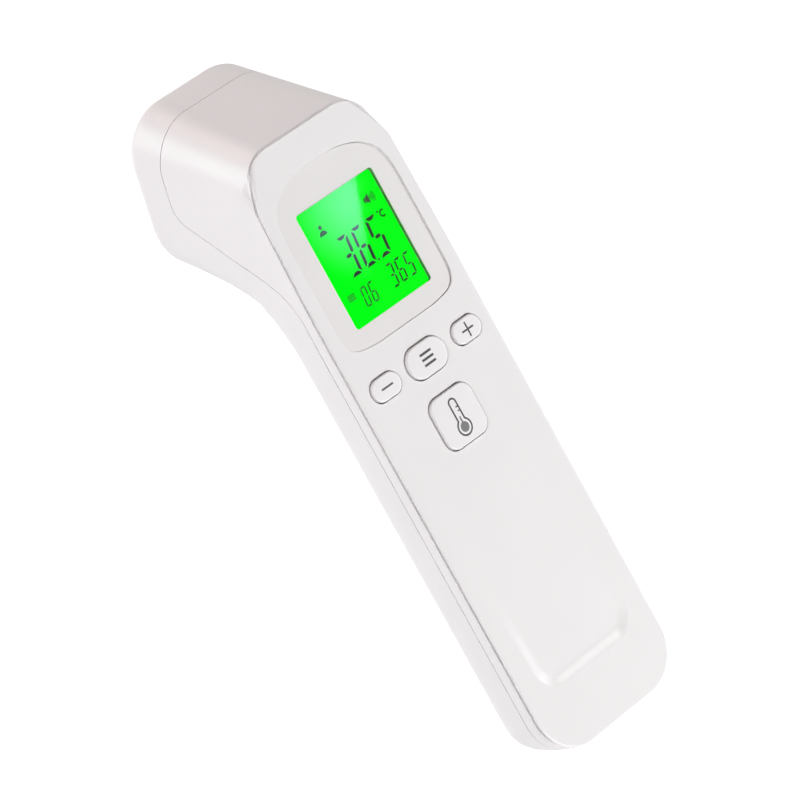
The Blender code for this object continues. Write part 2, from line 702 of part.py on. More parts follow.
# Circuit board
def make_board(finishes):
    half = (BOARD_HALF_WIDTH, (BOARD_Y[1] - BOARD_Y[0]) / 2.0)
    centre = (0.0, (BOARD_Y[0] + BOARD_Y[1]) / 2.0)
    plate = loft([rounded_loop(half, BOARD_CORNER, z, centre) for z in (BOARD_BACK, BOARD_FRONT)])
    board = solid("main_board", plate, finishes["board_green"])
    for place in BOARD_SCREW_PLACES:
        combine(board, "DIFFERENCE", post(place, BOARD_SCREW_HOLE, (-FAR, 0.0), SMALL_ROUND_STEPS))
    back = BOARD_BACK - GAP
    chip = solid("microcontroller", block((CHIP_HALF, CHIP_HALF), CHIP_CENTRE, (back - CHIP_HEIGHT, back)),
                 finishes["chip_black"])
    buzzer = solid("buzzer", post(BUZZER_CENTRE, BUZZER_RADIUS, (back - BUZZER_HEIGHT, back)),
                   finishes["chip_black"])
    vent = post(BUZZER_CENTRE, BUZZER_VENT, (-FAR, back - BUZZER_HEIGHT / 2.0), SMALL_ROUND_STEPS)
    combine(buzzer, "DIFFERENCE", vent)
    return [board, chip, buzzer]


def make_screw(name, place, size, head_front, tip, finish):
    """Pan-head screw pointing at the face, with a cross slot in its head."""
    head_radius, head_height, shank = size
    back = head_front - head_height
    rings = ((head_radius, back), (head_radius, head_front), (shank, head_front), (shank, tip))
    screw = solid(name, loft([circle_loop(radius, z, place, SMALL_ROUND_STEPS) for radius, z in rings]), finish)
    reach = head_radius * 0.7
    for half in ((reach, SLOT_WIDTH / 2.0), (SLOT_WIDTH / 2.0, reach)):
        combine(screw, "DIFFERENCE", block(half, place, (back - 1.0, back + SLOT_DEPTH)))
    return screw


def make_screws(finish):
    screws = []
    for index, place in enumerate(BOARD_SCREW_PLACES, start=1):
        screws.append(make_screw(f"board_screw_{index}", place, BOARD_SCREW, BOARD_BACK - GAP,
                                 BOARD_SCREW_TIP, finish))
    screws.append(make_screw("case_screw", CASE_SCREW_PLACE, CASE_SCREW, COUNTERBORE[1] - GAP,
                             CASE_SCREW_TIP, finish))
    return screws


# Cells and contacts, laid along the handle
def along_handle(shape, x, y):
    """Place a shape drawn about z so that its axis runs up the handle."""
    return moved(shape, Matrix.Translation((x, y, CELL_Z)) @ ALONG_HANDLE)


def make_cell(name, x, start, upright, finish):
    body = CELL_LENGTH - NUB_LENGTH
    profile = ((0.0, 0.0), (CELL_RADIUS - CELL_EDGE, 0.0), (CELL_RADIUS, CELL_EDGE),
               (CELL_RADIUS, body - CELL_EDGE), (CELL_RADIUS - CELL_EDGE, body), (NUB_RADIUS, body),
               (NUB_RADIUS, CELL_LENGTH), (0.0, CELL_LENGTH))
    if not upright:
        profile = tuple((radius, CELL_LENGTH - height) for radius, height in profile)
    return solid(name, along_handle(turned(profile), x, start), finish)


def make_spring(name, x, start, length, upright, finish):
    """Tapered coil between a contact plate and a cell."""
    count = int(SPRING_TURNS * SPRING_TURN_POINTS)
    run = length - 2.0 * SPRING_WIRE
    points = []
    for step in range(count + 1):
        share = step / count
        angle = 2.0 * math.pi * SPRING_TURNS * share
        radius = mix(*SPRING_RADII, share if upright else 1.0 - share)
        points.append(Vector((radius * math.cos(angle), radius * math.sin(angle), SPRING_WIRE + run * share)))
    far_turns = [(first - second).length for index, first in enumerate(points)
                 for second in points[index + SPRING_TURN_POINTS // 2:]]
    gap = min(far_turns) - 2.0 * SPRING_WIRE
    print(f"{name}: least gap between turns {gap:.2f} mm")
    assert gap > LEAST_SPRING_GAP
    place = Matrix.Translation((x, start, CELL_Z)) @ ALONG_HANDLE
    return tube(name, [place @ point for point in points], SPRING_WIRE, finish)


def tube(name, points, radius, finish):
    """Round wire through points in mm."""
    curve = bpy.data.curves.new(name, "CURVE")
    curve.dimensions = "3D"
    curve.bevel_depth = radius * MM
    curve.bevel_resolution = 1
    curve.use_fill_caps = True
    spline = curve.splines.new("POLY")
    spline.points.add(len(points) - 1)
    for target, point in zip(spline.points, points):
        target.co = (*(value * MM for value in point), 1.0)
    curve.materials.append(finish)
    result = bpy.data.objects.new(name, curve)
    bpy.context.scene.collection.objects.link(result)
    return result


def make_power(finishes):
    steel = finishes["contact_steel"]
    low_plate = (BAY_Y[0] + GAP, BAY_Y[0] + GAP + PLATE_THICKNESS)
    high_plate = (BAY_Y[1] - GAP - PLATE_THICKNESS, BAY_Y[1] - GAP)
    free = (low_plate[1] + GAP, high_plate[0] - GAP)
    spring_length = free[1] - free[0] - CELL_LENGTH - GAP
    sides = (CELL_Z - PLATE_HALF, CELL_Z + PLATE_HALF)
    wide = CELL_X + PLATE_HALF
    narrow = CELL_X - PLATE_HALF
    return [
        make_cell("left_cell", -CELL_X, free[1] - CELL_LENGTH, True, finishes["cell_wrap"]),
        make_cell("right_cell", CELL_X, free[0], False, finishes["cell_wrap"]),
        solid("bridge_plate", box((-wide, wide), low_plate, sides), steel),
        solid("positive_plate", box((-wide, -narrow), high_plate, sides), steel),
        solid("negative_plate", box((narrow, wide), high_plate, sides), steel),
        make_spring("bridge_spring", -CELL_X, free[0], spring_length, True, steel),
        make_spring("negative_spring", CELL_X, free[1] - spring_length, spring_length, False, steel),
        tube("positive_lead", [(-LEAD_X, *point) for point in LEAD_ROUTE], LEAD_RADIUS, finishes["lead_red"]),
        tube("negative_lead", [(LEAD_X, *point) for point in LEAD_ROUTE], LEAD_RADIUS, finishes["lead_black"]),
    ]


# Sensor in the nose
def pins(radius):
    """Cylinders through the sensor's pin circle."""
    result = []
    for index in range(PIN_COUNT):
        angle = math.radians(45.0) + 2.0 * math.pi * index / PIN_COUNT
        place = (PIN_CIRCLE * math.cos(angle), PIN_CIRCLE * math.sin(angle))
        result.append(moved(post(place, radius, PIN_SPAN, SMALL_ROUND_STEPS // 2), SENSOR_FRAME))
    return result


def sensor_part(name, profile, finish):
    return solid(name, moved(turned(profile), SENSOR_FRAME), finish)


def make_ribbon(finish):
    """Flat lead from the back of the sensor board to the back of the main board."""
    start = step_along(NOSE_CENTRE, RIM_DOWN, RIBBON_START[0])
    start = step_along(start, RIM_OUT, RIBBON_START[1])
    end = (RIBBON_LANDING_Y, BOARD_BACK - GAP)
    curve = (start, step_along(start, RIM_OUT, -RIBBON_PULL), step_along(end, (0.0, -1.0), RIBBON_PULL), end)
    line = [bezier(curve, step / RIBBON_STEPS) for step in range(RIBBON_STEPS + 1)]
    wide, thick = RIBBON_HALF
    edges = (shifted(line, -thick), shifted(line, thick))
    rings = [[(-wide, *front), (wide, *front), (wide, *back), (-wide, *back)] for front, back in zip(*edges)]
    return solid("sensor_ribbon", loft(rings), finish)


def make_sensor(finishes):
    can = sensor_part("thermopile_can", CAN_PROFILE, finishes["switch_steel"])
    combine(can, "UNION", *pins(PIN_RADIUS))
    board = sensor_part("sensor_board", SENSOR_BOARD_PROFILE, finishes["board_green"])
    combine(board, "DIFFERENCE", *pins(PIN_HOLE))
    return [
        sensor_part("sensor_bezel", BEZEL_PROFILE, finishes["bezel_black"]),
        sensor_part("sensor_sleeve", SLEEVE_PROFILE, finishes["brass"]),
        sensor_part("sensor_holder", HOLDER_PROFILE, finishes["white"]),
        sensor_part("sensor_filter", FILTER_PROFILE, finishes["filter_dark"]),
        can,
        board,
        make_ribbon(finishes["ribbon"]),
    ]


def make_finishes():
    return {
        "white": material("white_plastic", (0.84, 0.82, 0.82), 0.42),
        "key_white": material("key_plastic", (0.86, 0.84, 0.84), 0.38),
        "window_clear": material("window_clear", (0.78, 0.77, 0.76), 0.08),
        "lcd_green": material("lcd_green", (0.0, 0.9, 0.05), 0.25),
        "light_plate": material("light_plate", (0.9, 0.95, 0.9), 0.4),
        "contact_rubber": material("contact_rubber", (0.55, 0.55, 0.58), 0.8),
        "board_green": material("board_green", (0.03, 0.22, 0.1), 0.45),
        "chip_black": material("chip_black", (0.02, 0.02, 0.022), 0.5),
        "switch_steel": material("switch_steel", (0.7, 0.7, 0.7), 0.3, 1.0),
        "switch_black": material("switch_black", (0.03, 0.03, 0.03), 0.5),
        "contact_steel": material("contact_steel", (0.75, 0.74, 0.7), 0.25, 1.0),
        "cell_wrap": material("cell_wrap", (0.1, 0.12, 0.14), 0.35),
        "lead_red": material("lead_red", (0.6, 0.03, 0.03), 0.5),
        "lead_black": material("lead_black", (0.02, 0.02, 0.02), 0.5),
        "brass": material("brass", (0.8, 0.6, 0.28), 0.25, 1.0),
        "bezel_black": material("bezel_black", (0.03, 0.03, 0.032), 0.45),
        "filter_dark": material("filter_dark", (0.1, 0.09, 0.12), 0.1),
        "ribbon": material("ribbon", (0.75, 0.45, 0.1), 0.4),
        "screw_steel": material("screw_steel", (0.55, 0.55, 0.56), 0.35, 1.0),
    }


def set_origin(piece, place):
    """Move a piece's origin to a point in mm, leaving its surface where it is."""
    offset = Vector(place) * MM
    piece.data.transform(Matrix.Translation(-offset))
    piece.location = offset


def rest_on_back(pieces):
    """Tip the object back until nose and handle touch the ground, and centre it on the origin."""
    outline = [Vector(point[1:]) for point in body_form(0.0)[0]]
    nose = [point for point in outline if point.x > 0.0]
    handle = [point for point in outline if point.x < 0.0]

    def lowest(points, tilt):
        return min(point.x * math.sin(tilt) + point.y * math.cos(tilt) for point in points)

    low, high = 0.0, math.radians(45.0)
    for _ in range(40):
        tilt = (low + high) / 2.0
        if lowest(nose, tilt) < lowest(handle, tilt):
            low = tilt
        else:
            high = tilt
    root = bpy.data.objects.new("thermometer", None)
    bpy.context.scene.collection.objects.link(root)
    root.rotation_euler = (tilt, 0.0, 0.0)
    for piece in pieces:
        piece.parent = root
    bpy.context.view_layer.update()
    corners = [piece.matrix_world @ vertex.co for piece in pieces if piece.type == "MESH"
               for vertex in piece.data.vertices]
    middle = (min(corner.y for corner in corners) + max(corner.y for corner in corners)) / 2.0
    root.location = (0.0, -middle, -min(corner.z for corner in corners))
    print(f"tilt {math.degrees(tilt):.3f} degrees, root at {tuple(round(value, 6) for value in root.location)}")


def main():
    clear_scene()
    finishes = make_finishes()
    case = [make_front_cover(finishes["white"]), make_middle_housing(finishes["white"]),
            make_rear_housing(finishes["white"]), make_battery_door(finishes["white"]),
            make_window(finishes["window_clear"])]
    keys = []
    for name, key in KEYS.items():
        button = make_key(name, key, finishes["key_white"])
        body, stem = make_switch(name, key, finishes)
        set_origin(button, (*key[0], 0.0))
        set_origin(stem, (*key[0], 0.0))
        keys += [button, body, stem]
    inside = make_display(finishes) + make_board(finishes) + make_screws(finishes["screw_steel"])
    pieces = case + keys + inside + make_power(finishes) + make_sensor(finishes)
    for piece in pieces:
        if piece.type == "MESH":
            smooth(piece)
    rest_on_back(pieces)


main()
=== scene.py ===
"""Looks of the infrared forehead thermometer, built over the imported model.

Shapes are drawn in millimetres in the handle's own frame: x to the right of the face, y up the
handle towards the head, z out of the face, with the origin at the middle of the display.
HANDLE_TO_WORLD then lays them on the floor in metres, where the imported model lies.
"""
import math

import bmesh
import bpy
from mathutils import Matrix, Vector


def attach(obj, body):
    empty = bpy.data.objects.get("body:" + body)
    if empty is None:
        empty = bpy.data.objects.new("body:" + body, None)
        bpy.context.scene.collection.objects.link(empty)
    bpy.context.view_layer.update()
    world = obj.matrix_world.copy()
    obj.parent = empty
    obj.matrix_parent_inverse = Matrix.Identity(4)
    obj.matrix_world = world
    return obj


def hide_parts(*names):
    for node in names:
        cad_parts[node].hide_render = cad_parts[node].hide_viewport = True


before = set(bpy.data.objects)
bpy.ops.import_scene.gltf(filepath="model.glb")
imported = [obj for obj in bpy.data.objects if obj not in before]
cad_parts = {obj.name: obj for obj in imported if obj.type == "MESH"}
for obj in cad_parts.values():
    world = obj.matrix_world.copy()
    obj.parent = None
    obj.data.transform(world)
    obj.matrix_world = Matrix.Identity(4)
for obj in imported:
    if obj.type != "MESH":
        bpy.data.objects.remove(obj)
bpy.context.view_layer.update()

# Units, clearances, edge tests and the part's place in the world
MM = 0.001
GAP = 0.3
FAR = 90.0
CUT_PAST = 1.0
LEVEL = 0.01
WELD = 0.002
BEVEL_ANGLE = math.radians(25.0)
SHARP_ANGLE = math.radians(35.0)
TILT = math.radians(10.779)
REST_PLACE = (0.0, 0.031878, 0.041264)
HANDLE_TO_WORLD = Matrix.Translation(REST_PLACE) @ Matrix.Rotation(TILT, 4, "X")

# Body form
HALF_WIDTH = 21.3
HANDLE_DEPTH = 20.8
HANDLE_END = -118.2
FACE_EDGE_RADIUS = 1.0
BACK_EDGE_RADIUS = 14.1
END_PLAN_RADIUS = 10.4
END_SIDE_RADIUS = 6.8
NECK_START = -14.2
HEAD_CORNER = (29.8, 0.65)
HEAD_HALF_WIDTH = 20.3
HEAD_EDGE_RADIUS = 9.8
HEAD_EDGE_RAMP = 11.0
HEAD_TOP_LENGTH = 34.7
HEAD_TOP_ANGLE = math.radians(31.0)
RIM_HALF_WIDTH = 19.5
RIM_HEIGHT = 40.0
RIM_ANGLE = math.radians(19.0)
RIM_TOP_RADIUS = 11.8
RIM_BOTTOM_RADIUS = 13.3
RIM_ROUNDING = 3.5
UNDERSIDE_ANGLE = math.radians(31.3)
NECK_PULL = 5.7
UNDERSIDE_PULL = 28.1
FAN_START = 0.3
FAN_END = 0.6
PIVOT_RADIUS = 0.4
SHARP_RADIUS = 0.3
WALL = 2.0

# Parting lines
COVER_THICKNESS = 1.8
COVER_EDGE = 0.3
COVER_STEP = 0.45
GROOVE_WIDTH = 0.6
GROOVE_GAP = 0.06
LIP_INSET = 2.6
LIP_BACK = -3.0
LIP_FRONT = -1.0
LIP_TOP = 5.0
SEAM_DEPTH = 3.8
SEAM_GAP = 0.2
SEAM_NOSE_SETBACK = 7.6
SEAM_NECK_Y = -1.8
SEAM_SLOPE = math.radians(45.0)
SEAM_NECK_RADIUS = 15.0
SEAM_NOSE_RADIUS = 6.0
GROOVE_EDGE = 0.2
CREASE_EDGE = 1.0
CREASE_REACH = 3.0

# Window and display: WINDOW_UPPER and WINDOW_LOWER are height, squareness and bow of each half
WINDOW_HALF_WIDTH = 17.62
WINDOW_CENTRE_Y = 1.2
WINDOW_UPPER = (21.05, 5.7, 0.19)
WINDOW_LOWER = (20.35, 9.9, 0.068)
WINDOW_TOP = -0.2
WINDOW_THICKNESS = 1.05
WINDOW_POCKET = -1.4
WINDOW_LEDGE = 1.2
WINDOW_EDGE = 0.06
WINDOW_GAP = 0.03
WINDOW_STEP = 0.35
WINDOW_STEP_WIDTH = 0.6
WINDOW_RIM = 0.32
WINDOW_RIM_DROP = 0.09
WINDOW_RIM_POWER = 6
BORDER_LIP = (0.05, 0.1)
OPENING_HALF = (11.98, 13.99)
OPENING_CENTRE = (-0.19, 0.02)
OPENING_CORNER = 0.8
LINER_WALL = 0.12
LINER_DRAFT = -0.25
LINER_DROP = 0.12
SNUG = 0.01
PANE_TOP = -0.27
PANE_THICKNESS = 0.15
LCD_HALF = (13.4, 16.2)
LCD_CENTRE = (0.0, -0.4)
LCD_CORNER = 0.4
LCD_EDGE = 0.15
LCD_CLEARANCE = 0.4
LCD_FACE = -1.35
LCD_BACK = -4.4
PRINT_RELIEF = 0.015
PRINT_DEPTH = 0.1
DISPLAY_MIDDLE = (0.07, -0.02)

# Readings on the display: text, middle, stroke spacing, height between bars, stroke and pitch
DIGIT_SLANT = 0.1
SEGMENT_CUT = 0.16
CROSSBAR_CUT = 0.6
READINGS = (
    ("365", (-3.9, 0.32), 2.6, 8.3, 0.84, 4.62),
    ("06", (-5.15, -9.05), 1.27, 4.15, 0.36, 2.33),
    ("365", (3.75, -8.55), 1.5, 4.9, 0.45, 2.75),
)
SEGMENTS = {"0": "abcdef", "3": "abcdg", "5": "acdfg", "6": "acdefg"}

# Other signs on the display: places and radii, strokes, and offsets from a sign's own place
DECIMAL_POINT = ((2.6, -4.0), 0.3)
DEGREE_DOT = ((8.2, 4.78), 0.26)
UNIT_ARC = ((9.42, 3.95), 0.72, 48.0, 312.0)
UNIT_STROKE = 0.36
SPEAKER_PLACE = (6.5, 8.3)
SPEAKER_BOX = (0.56, 1.1)
SPEAKER_HORN = ((0.62, 0.5), (1.6, 1.2))
WAVE_RADII = (0.6, 1.15, 1.75)
WAVE_START = 1.4
WAVE_ANGLE = 42.0
WAVE_STROKE = 0.25
PERSON_PLACE = (-7.1, 7.9)
PERSON_HEAD = (1.0, 0.52)
PERSON_SHOULDERS = (0.9, 1.15)
MEMORY_X = (-9.8, -7.6)
MEMORY_Y = (-8.1, -7.55, -7.0)
MEMORY_STROKE = 0.28

# Keys: centre of each, then half size and corner radius of its hole in the cover
SMALL_KEY = ((4.5, 2.9), 2.85)
MODE_KEY = ((6.2, 4.0), 3.95)
MEASURE_KEY = ((6.7, 6.45), 3.3)
KEY_ROW_Y = -27.5
KEY_SPACING = 13.1
KEYS = {
    "minus": ((-KEY_SPACING, KEY_ROW_Y), *SMALL_KEY),
    "mode": ((0.0, KEY_ROW_Y), *MODE_KEY),
    "plus": ((KEY_SPACING, KEY_ROW_Y), *SMALL_KEY),
    "measure": ((0.0, -42.1), *MEASURE_KEY),
}
KEY_TOP = 0.7
KEY_EDGE = 0.35
KEY_DOME = 0.08
KEY_FLANGE = 1.0
KEY_FLANGE_Z = (-4.2, -3.3)
KEY_FOOT = -5.2
KEY_FOOT_RADIUS = 1.8
KEY_FOOT_FLAT = 0.05
HOLE_CHAMFER = 0.1

# Signs on the keys: MODE_BAR is half length, pitch and stroke, FILLING radius, half width and top
MARK_STROKE = 0.42
CROSS_ARM = 1.77
MODE_BAR = (1.75, 1.25, 0.55)
BULB_PLACE = (-0.15, -2.6)
BULB_RADIUS = 1.9
TUBE_RADIUS = 1.0
TUBE_TOP = 5.85
TICK_START = 0.25
TICK_DROPS = (1.15, 2.1)
TICK_STROKE = 0.28
FILLING = (1.18, 0.2, 2.55)
FILLING_ARC = (100.0, 440.0)

# Thumb scoop in the cover
SCOOP_Y = (-104.6, -70.0)
SCOOP_HALF = (15.2, 17.6)
SCOOP_CORNER = 6.0
SCOOP_DEPTH = 0.8
SCOOP_FADE = 1.6
SCOOP_WALL = 3.4
SCOOP_STEP = 0.5
SCOOP_LIFT = 0.05

# Bosses under the cover
BOARD_SCREW_PLACES = ((-11.0, 23.5), (11.0, 23.5), (-14.0, -50.5), (14.0, -50.5))
BOSS_RADIUS = 2.0
BOSS_BACK = -9.7
BOSS_FRONT = -1.2
BOSS_HOLE = 1.05
BOSS_HOLE_END = -4.5

# Cells, their bay and its door
CELL_RADIUS = 5.25
CELL_LENGTH = 44.5
CELL_EDGE = 0.5
NUB_RADIUS = 1.9
NUB_LENGTH = 0.9
NUB_EDGE = 0.2
NUB_FLARE = (0.4, 0.1)
WRAP_FOLD = 1.3
WRAP_SKIN = 0.12
WRAP_BAND = 0.66
CORE_GAP = 0.15
CORE_FIT = 0.02
CELL_X = 5.75
CELL_Z = -12.3
CELL_STARTS = (-105.8, -111.0)
BAY_HALF_WIDTH = 11.4
BAY_WALL = 1.3
BAY_Y = (-112.0, -60.3)
BAY_FLOOR = (-6.7, -5.5)
BAY_WALL_BACK = -15.0
BAY_WEB = (20.0, -107.0)
DOOR_HALF_WIDTH = 13.0
DOOR_TOP = -60.6
DOOR_FRONT = -13.0
GRIP_COUNT = 5
GRIP_HALF = (6.0, 0.5)
GRIP_FLAT = 0.02
GRIP_DEPTH = 0.5
GRIP_PITCH = 2.4
GRIP_START = -66.0
LEAD_HOLE = 1.0
LEAD_X = 9.0
LEAD_Z = -9.2

# Case screw, as head radius, head height and shank radius, and its posts, as radius and end height
CASE_SCREW = (2.1, 1.7, 0.95)
CASE_SCREW_TIP = -4.0
CASE_SCREW_PLACE = (0.0, -56.6)
CASE_BOSS = (2.2, -5.7)
CASE_POST = (2.2, -6.0)
CASE_POST_FOOT = (3.6, -14.0)
CASE_POST_HOLE = 1.35
CASE_HOLE_END = -3.6
COUNTERBORE = (2.5, -18.2)
SCREW_CROWN = ((0.7, 0.0), (0.2, 0.3), (0.0, 0.8))
SLOT_WIDTH = 0.7
SLOT_DEPTH = 0.7
SLOT_SHARE = 0.7

# Sensor: radii about the nose's axis, with heights measured outwards from the nose's end face
SENSOR_HOLE = 10.3
BEZEL_PROFILE = ((9.2, -0.2), (10.0, -0.2), (10.0, -2.3), (12.0, -2.3), (12.0, -3.6),
                 (8.0, -3.6), (8.0, -7.5), (6.2, -7.5))
SLEEVE_PROFILE = ((6.0, -7.8), (7.6, -7.8), (7.6, -15.5), (5.0, -15.5), (5.0, -9.2))
FILTER_PROFILE = ((0.0, -10.15), (2.3, -10.15), (2.3, -10.5), (0.0, -10.5))
TURNED_EDGE = 0.2
TURNED_CUT = 0.4

# Fineness of the curved skins
CORNER_STEPS = 14
END_STEPS = 14
NECK_STEPS = 40
RIM_STEPS = 8
SEAM_STEPS = 16
WINDOW_STEPS = 120
ROUND_STEPS = 64
EDGE_STEPS = 6
DOME_STEPS = 6
BEVEL_STEPS = 3
CREASE_STEPS = 4
DOT_STEPS = 20
UNIT_STEPS = 18
WAVE_STEPS = 8
SIGN_STEPS = 16
BULB_STEPS = 36
LINE_STEPS = 8
HALVINGS = 40

# Textures of the materials: noise scales per metre, the grain's height in metres
NOISE_RANGE = (0.3, 0.7)
CLOUD_SCALE = 45.0
GLOSS_SCALE = 400.0
GLOSS_SPREAD = 0.08
GRAIN_SCALE = 5000.0
GRAIN_DETAIL = 2.0
GRAIN_HEIGHT = 0.00002
BRUSH_SCALE = (200.0, 9000.0, 9000.0)
BRUSH_DEPTH = 0.12
GLOW_SCALE = 120.0
GLOW_SHARE = 0.05
TRACK_SCALE = 260.0
TRACK_WIDTH = 0.03
TRACK_COLOURS = ((0.02, 0.17, 0.08, 1.0), (0.03, 0.22, 0.1, 1.0), (0.05, 0.34, 0.15, 1.0))
PANE_INDEX = 1.46

# Colour sockets of a mix node: its two inputs and its result
MIX_FIRST = 6
MIX_SECOND = 7
MIX_RESULT = 2

# Camera in the handle's frame, in mm, and the floor: its radius in metres, grey and glow
CAMERA_PLACE = (-571.21, 136.56, 786.85)
CAMERA_BACK = Vector((-0.5711, 0.1716, 0.80274))
CAMERA_UP = Vector((0.481, 0.8624, 0.15785))
CAMERA_LENS = 205.3
CAMERA_FILM = 36.0
CAMERA_FAR = 50.0
FLOOR_DROP = -0.12
FLOOR_RADIUS = 4.0
FLOOR_GREY = 0.3
FLOOR_GLOW = 0.85

# Card mirrored in the display: its height over the face, and its outline, middle and fade on the pane
CARD_HEIGHT = 470.0
CARD_OUTLINE = ((8.8, 18.4), (-16.0, 18.4), (-16.0, -14.0), (-5.3, -14.0))
CARD_MIDDLE = (3.5, 10.5)
CARD_FADE = 19.0
CARD_STRENGTH = 4.5
CARD_COLOUR = (0.5, 0.8, 1.0)

# Soft boxes: compass angle and height above the floor in degrees, diameter in metres, power and colour
LIGHT_DISTANCE = 0.9
LIGHTS = {
    "back_low": (90.0, 12.0, 0.5, 1.5, (1.0, 0.75, 0.67)),
    "left": (160.0, 35.0, 0.45, 3.75, (1.0, 0.98, 1.0)),
    "front": (280.0, 35.0, 0.65, 6.2, (0.99, 1.0, 0.99)),
    "right_mid": (341.0, 32.0, 0.22, 1.25, (0.98, 1.0, 1.0)),
    "right_high": (3.0, 55.0, 0.21, 1.3, (1.0, 0.99, 0.99)),
}

# World: its level above and below the horizon, and a brighter patch at the back left, in degrees
WORLD_ABOVE = 0.05
WORLD_BELOW = 0.8
HORIZON_FADE = 0.05
SWEEP_AIM = (125.0, -11.0)
SWEEP_REACH = (25.0, 6.0)
SWEEP_STRENGTH = 4.4
SWEEP_COLOUR = (0.84, 1.0, 0.99)


# Outlines and simple shapes, each as (points in mm, faces)
def mix(low, high, share):
    return low + (high - low) * share


def arc(centre, radius, start, end, steps):
    """Points along part of a circle, between two angles in degrees."""
    angles = [math.radians(mix(start, end, step / steps)) for step in range(steps + 1)]
    return [(centre[0] + radius * math.cos(angle), centre[1] + radius * math.sin(angle))
            for angle in angles]


def raised(outline, z):
    return [(x, y, z) for x, y in outline]


def rounded_loop(half, radius, z, centre=(0.0, 0.0)):
    """Rounded rectangle, counter-clockwise."""
    outline = []
    for corner, (side_x, side_y) in enumerate(((1, 1), (-1, 1), (-1, -1), (1, -1))):
        middle = (centre[0] + side_x * (half[0] - radius), centre[1] + side_y * (half[1] - radius))
        outline += arc(middle, radius, 90.0 * corner, 90.0 * (corner + 1), CORNER_STEPS)
    return raised(outline, z)


def grown_loop(half, radius, grow, z, centre):
    return rounded_loop((half[0] + grow, half[1] + grow), radius + grow, z, centre)


def circle_loop(radius, z, centre=(0.0, 0.0)):
    return raised(arc(centre, radius, 0.0, 360.0, ROUND_STEPS)[:-1], z)


def window_loop(grow, z):
    """Window outline: each half has its own height, squareness and bow towards the middle."""
    loop = []
    for step in range(WINDOW_STEPS):
        angle = 2.0 * math.pi * (step + 0.5) / WINDOW_STEPS
        cosine = math.cos(angle)
        sine = math.sin(angle)
        height, power, bow = WINDOW_UPPER if sine > 0.0 else WINDOW_LOWER
        across = math.copysign(abs(cosine) ** (2.0 / power), cosine)
        along = math.copysign(abs(sine) ** (2.0 / power), sine) * (1.0 - bow * across ** 2)
        loop.append(((WINDOW_HALF_WIDTH + grow) * across, WINDOW_CENTRE_Y + (height + grow) * along, z))
    return loop


def skin(rings, closed=False):
    """Faces between neighbouring rings of equal length, and from the last to the first if closed."""
    count = len(rings[0])
    faces = []
    for row in range(len(rings) if closed else len(rings) - 1):
        low = row * count
        high = (row + 1) % len(rings) * count
        for column in range(count):
            after = (column + 1) % count
            faces.append((low + column, low + after, high + after, high + column))
    return faces


def loft(rings):
    """Solid over a stack of rings, closed by flat ends."""
    points = [point for ring in rings for point in ring]
    count = len(rings[0])
    ends = [tuple(reversed(range(count))), tuple(range(len(points) - count, len(points)))]
    return points, skin(rings) + ends


def band(outer_rings, inner_rings):
    """Closed ring between an outer and an inner stack of loops, both listed upwards."""
    rings = outer_rings + inner_rings[::-1]
    return [point for ring in rings for point in ring], skin(rings, closed=True)


def box(x, y, z):
    """Box between two limits on each axis."""
    corners = ((x[0], y[0]), (x[1], y[0]), (x[1], y[1]), (x[0], y[1]))
    return loft([raised(corners, height) for height in z])


def block(half, centre, z):
    """Box about a centre, given its half size in x and y."""
    return box((centre[0] - half[0], centre[0] + half[0]), (centre[1] - half[1], centre[1] + half[1]), z)


def post(centre, radius, z):
    return loft([circle_loop(radius, height, centre) for height in z])


def turned(profile):
    """Turn a (radius, height) profile about z: closed on itself, or from axis to axis with flat ends."""
    rings = [circle_loop(radius, height) for radius, height in profile if radius]
    return band(rings, []) if profile[0][0] else loft(rings)


def eased(profile, size):
    """The same profile with each corner cut back, so that turned edges catch the light."""
    closed = profile[0][0] > 0.0
    result = []
    for index, corner in enumerate(profile):
        if not closed and index in (0, len(profile) - 1):
            result.append(corner)
            continue
        for other in (profile[index - 1], profile[(index + 1) % len(profile)]):
            cut = min(size, math.dist(corner, other) * TURNED_CUT)
            result.append(towards(corner, other, cut))
    return tuple(result)


def moved(shape, matrix):
    points, faces = shape
    return [tuple(matrix @ Vector(point)) for point in points], faces


def joined(shapes):
    """Several separate closed shapes as one."""
    points = []
    faces = []
    for more_points, more_faces in shapes:
        start = len(points)
        points.extend(more_points)
        faces.extend(tuple(start + index for index in face) for face in more_faces)
    return points, faces


def solid(name, shape):
    """Object from (points in mm, faces), with its faces turned outwards."""
    points, faces = shape
    mesh = bpy.data.meshes.new(name)
    mesh.from_pydata([[value * MM for value in point] for point in points], [], faces)
    work = bmesh.new()
    work.from_mesh(mesh)
    bmesh.ops.recalc_face_normals(work, faces=work.faces)
    work.to_mesh(mesh)
    work.free()
    result = bpy.data.objects.new(name, mesh)
    bpy.context.scene.collection.objects.link(result)
    return result


def combine(target, operation, *shapes):
    """Join, cut or intersect an object with each shape in turn."""
    for shape in shapes:
        tool = solid("tool", shape)
        modifier = target.modifiers.new("Boolean", "BOOLEAN")
        modifier.operation = operation
        modifier.object = tool
        graph = bpy.context.evaluated_depsgraph_get()
        mesh = bpy.data.meshes.new_from_object(target.evaluated_get(graph))
        target.modifiers.clear()
        target.data = mesh
        bpy.data.objects.remove(tool)


def common(first, second):
    """Shape that two shapes share."""
    piece = solid("common", first)
    combine(piece, "INTERSECT", second)
    points = [tuple(vertex.co / MM) for vertex in piece.data.vertices]
    faces = [tuple(polygon.vertices) for polygon in piece.data.polygons]
    bpy.data.objects.remove(piece)
    return points, faces


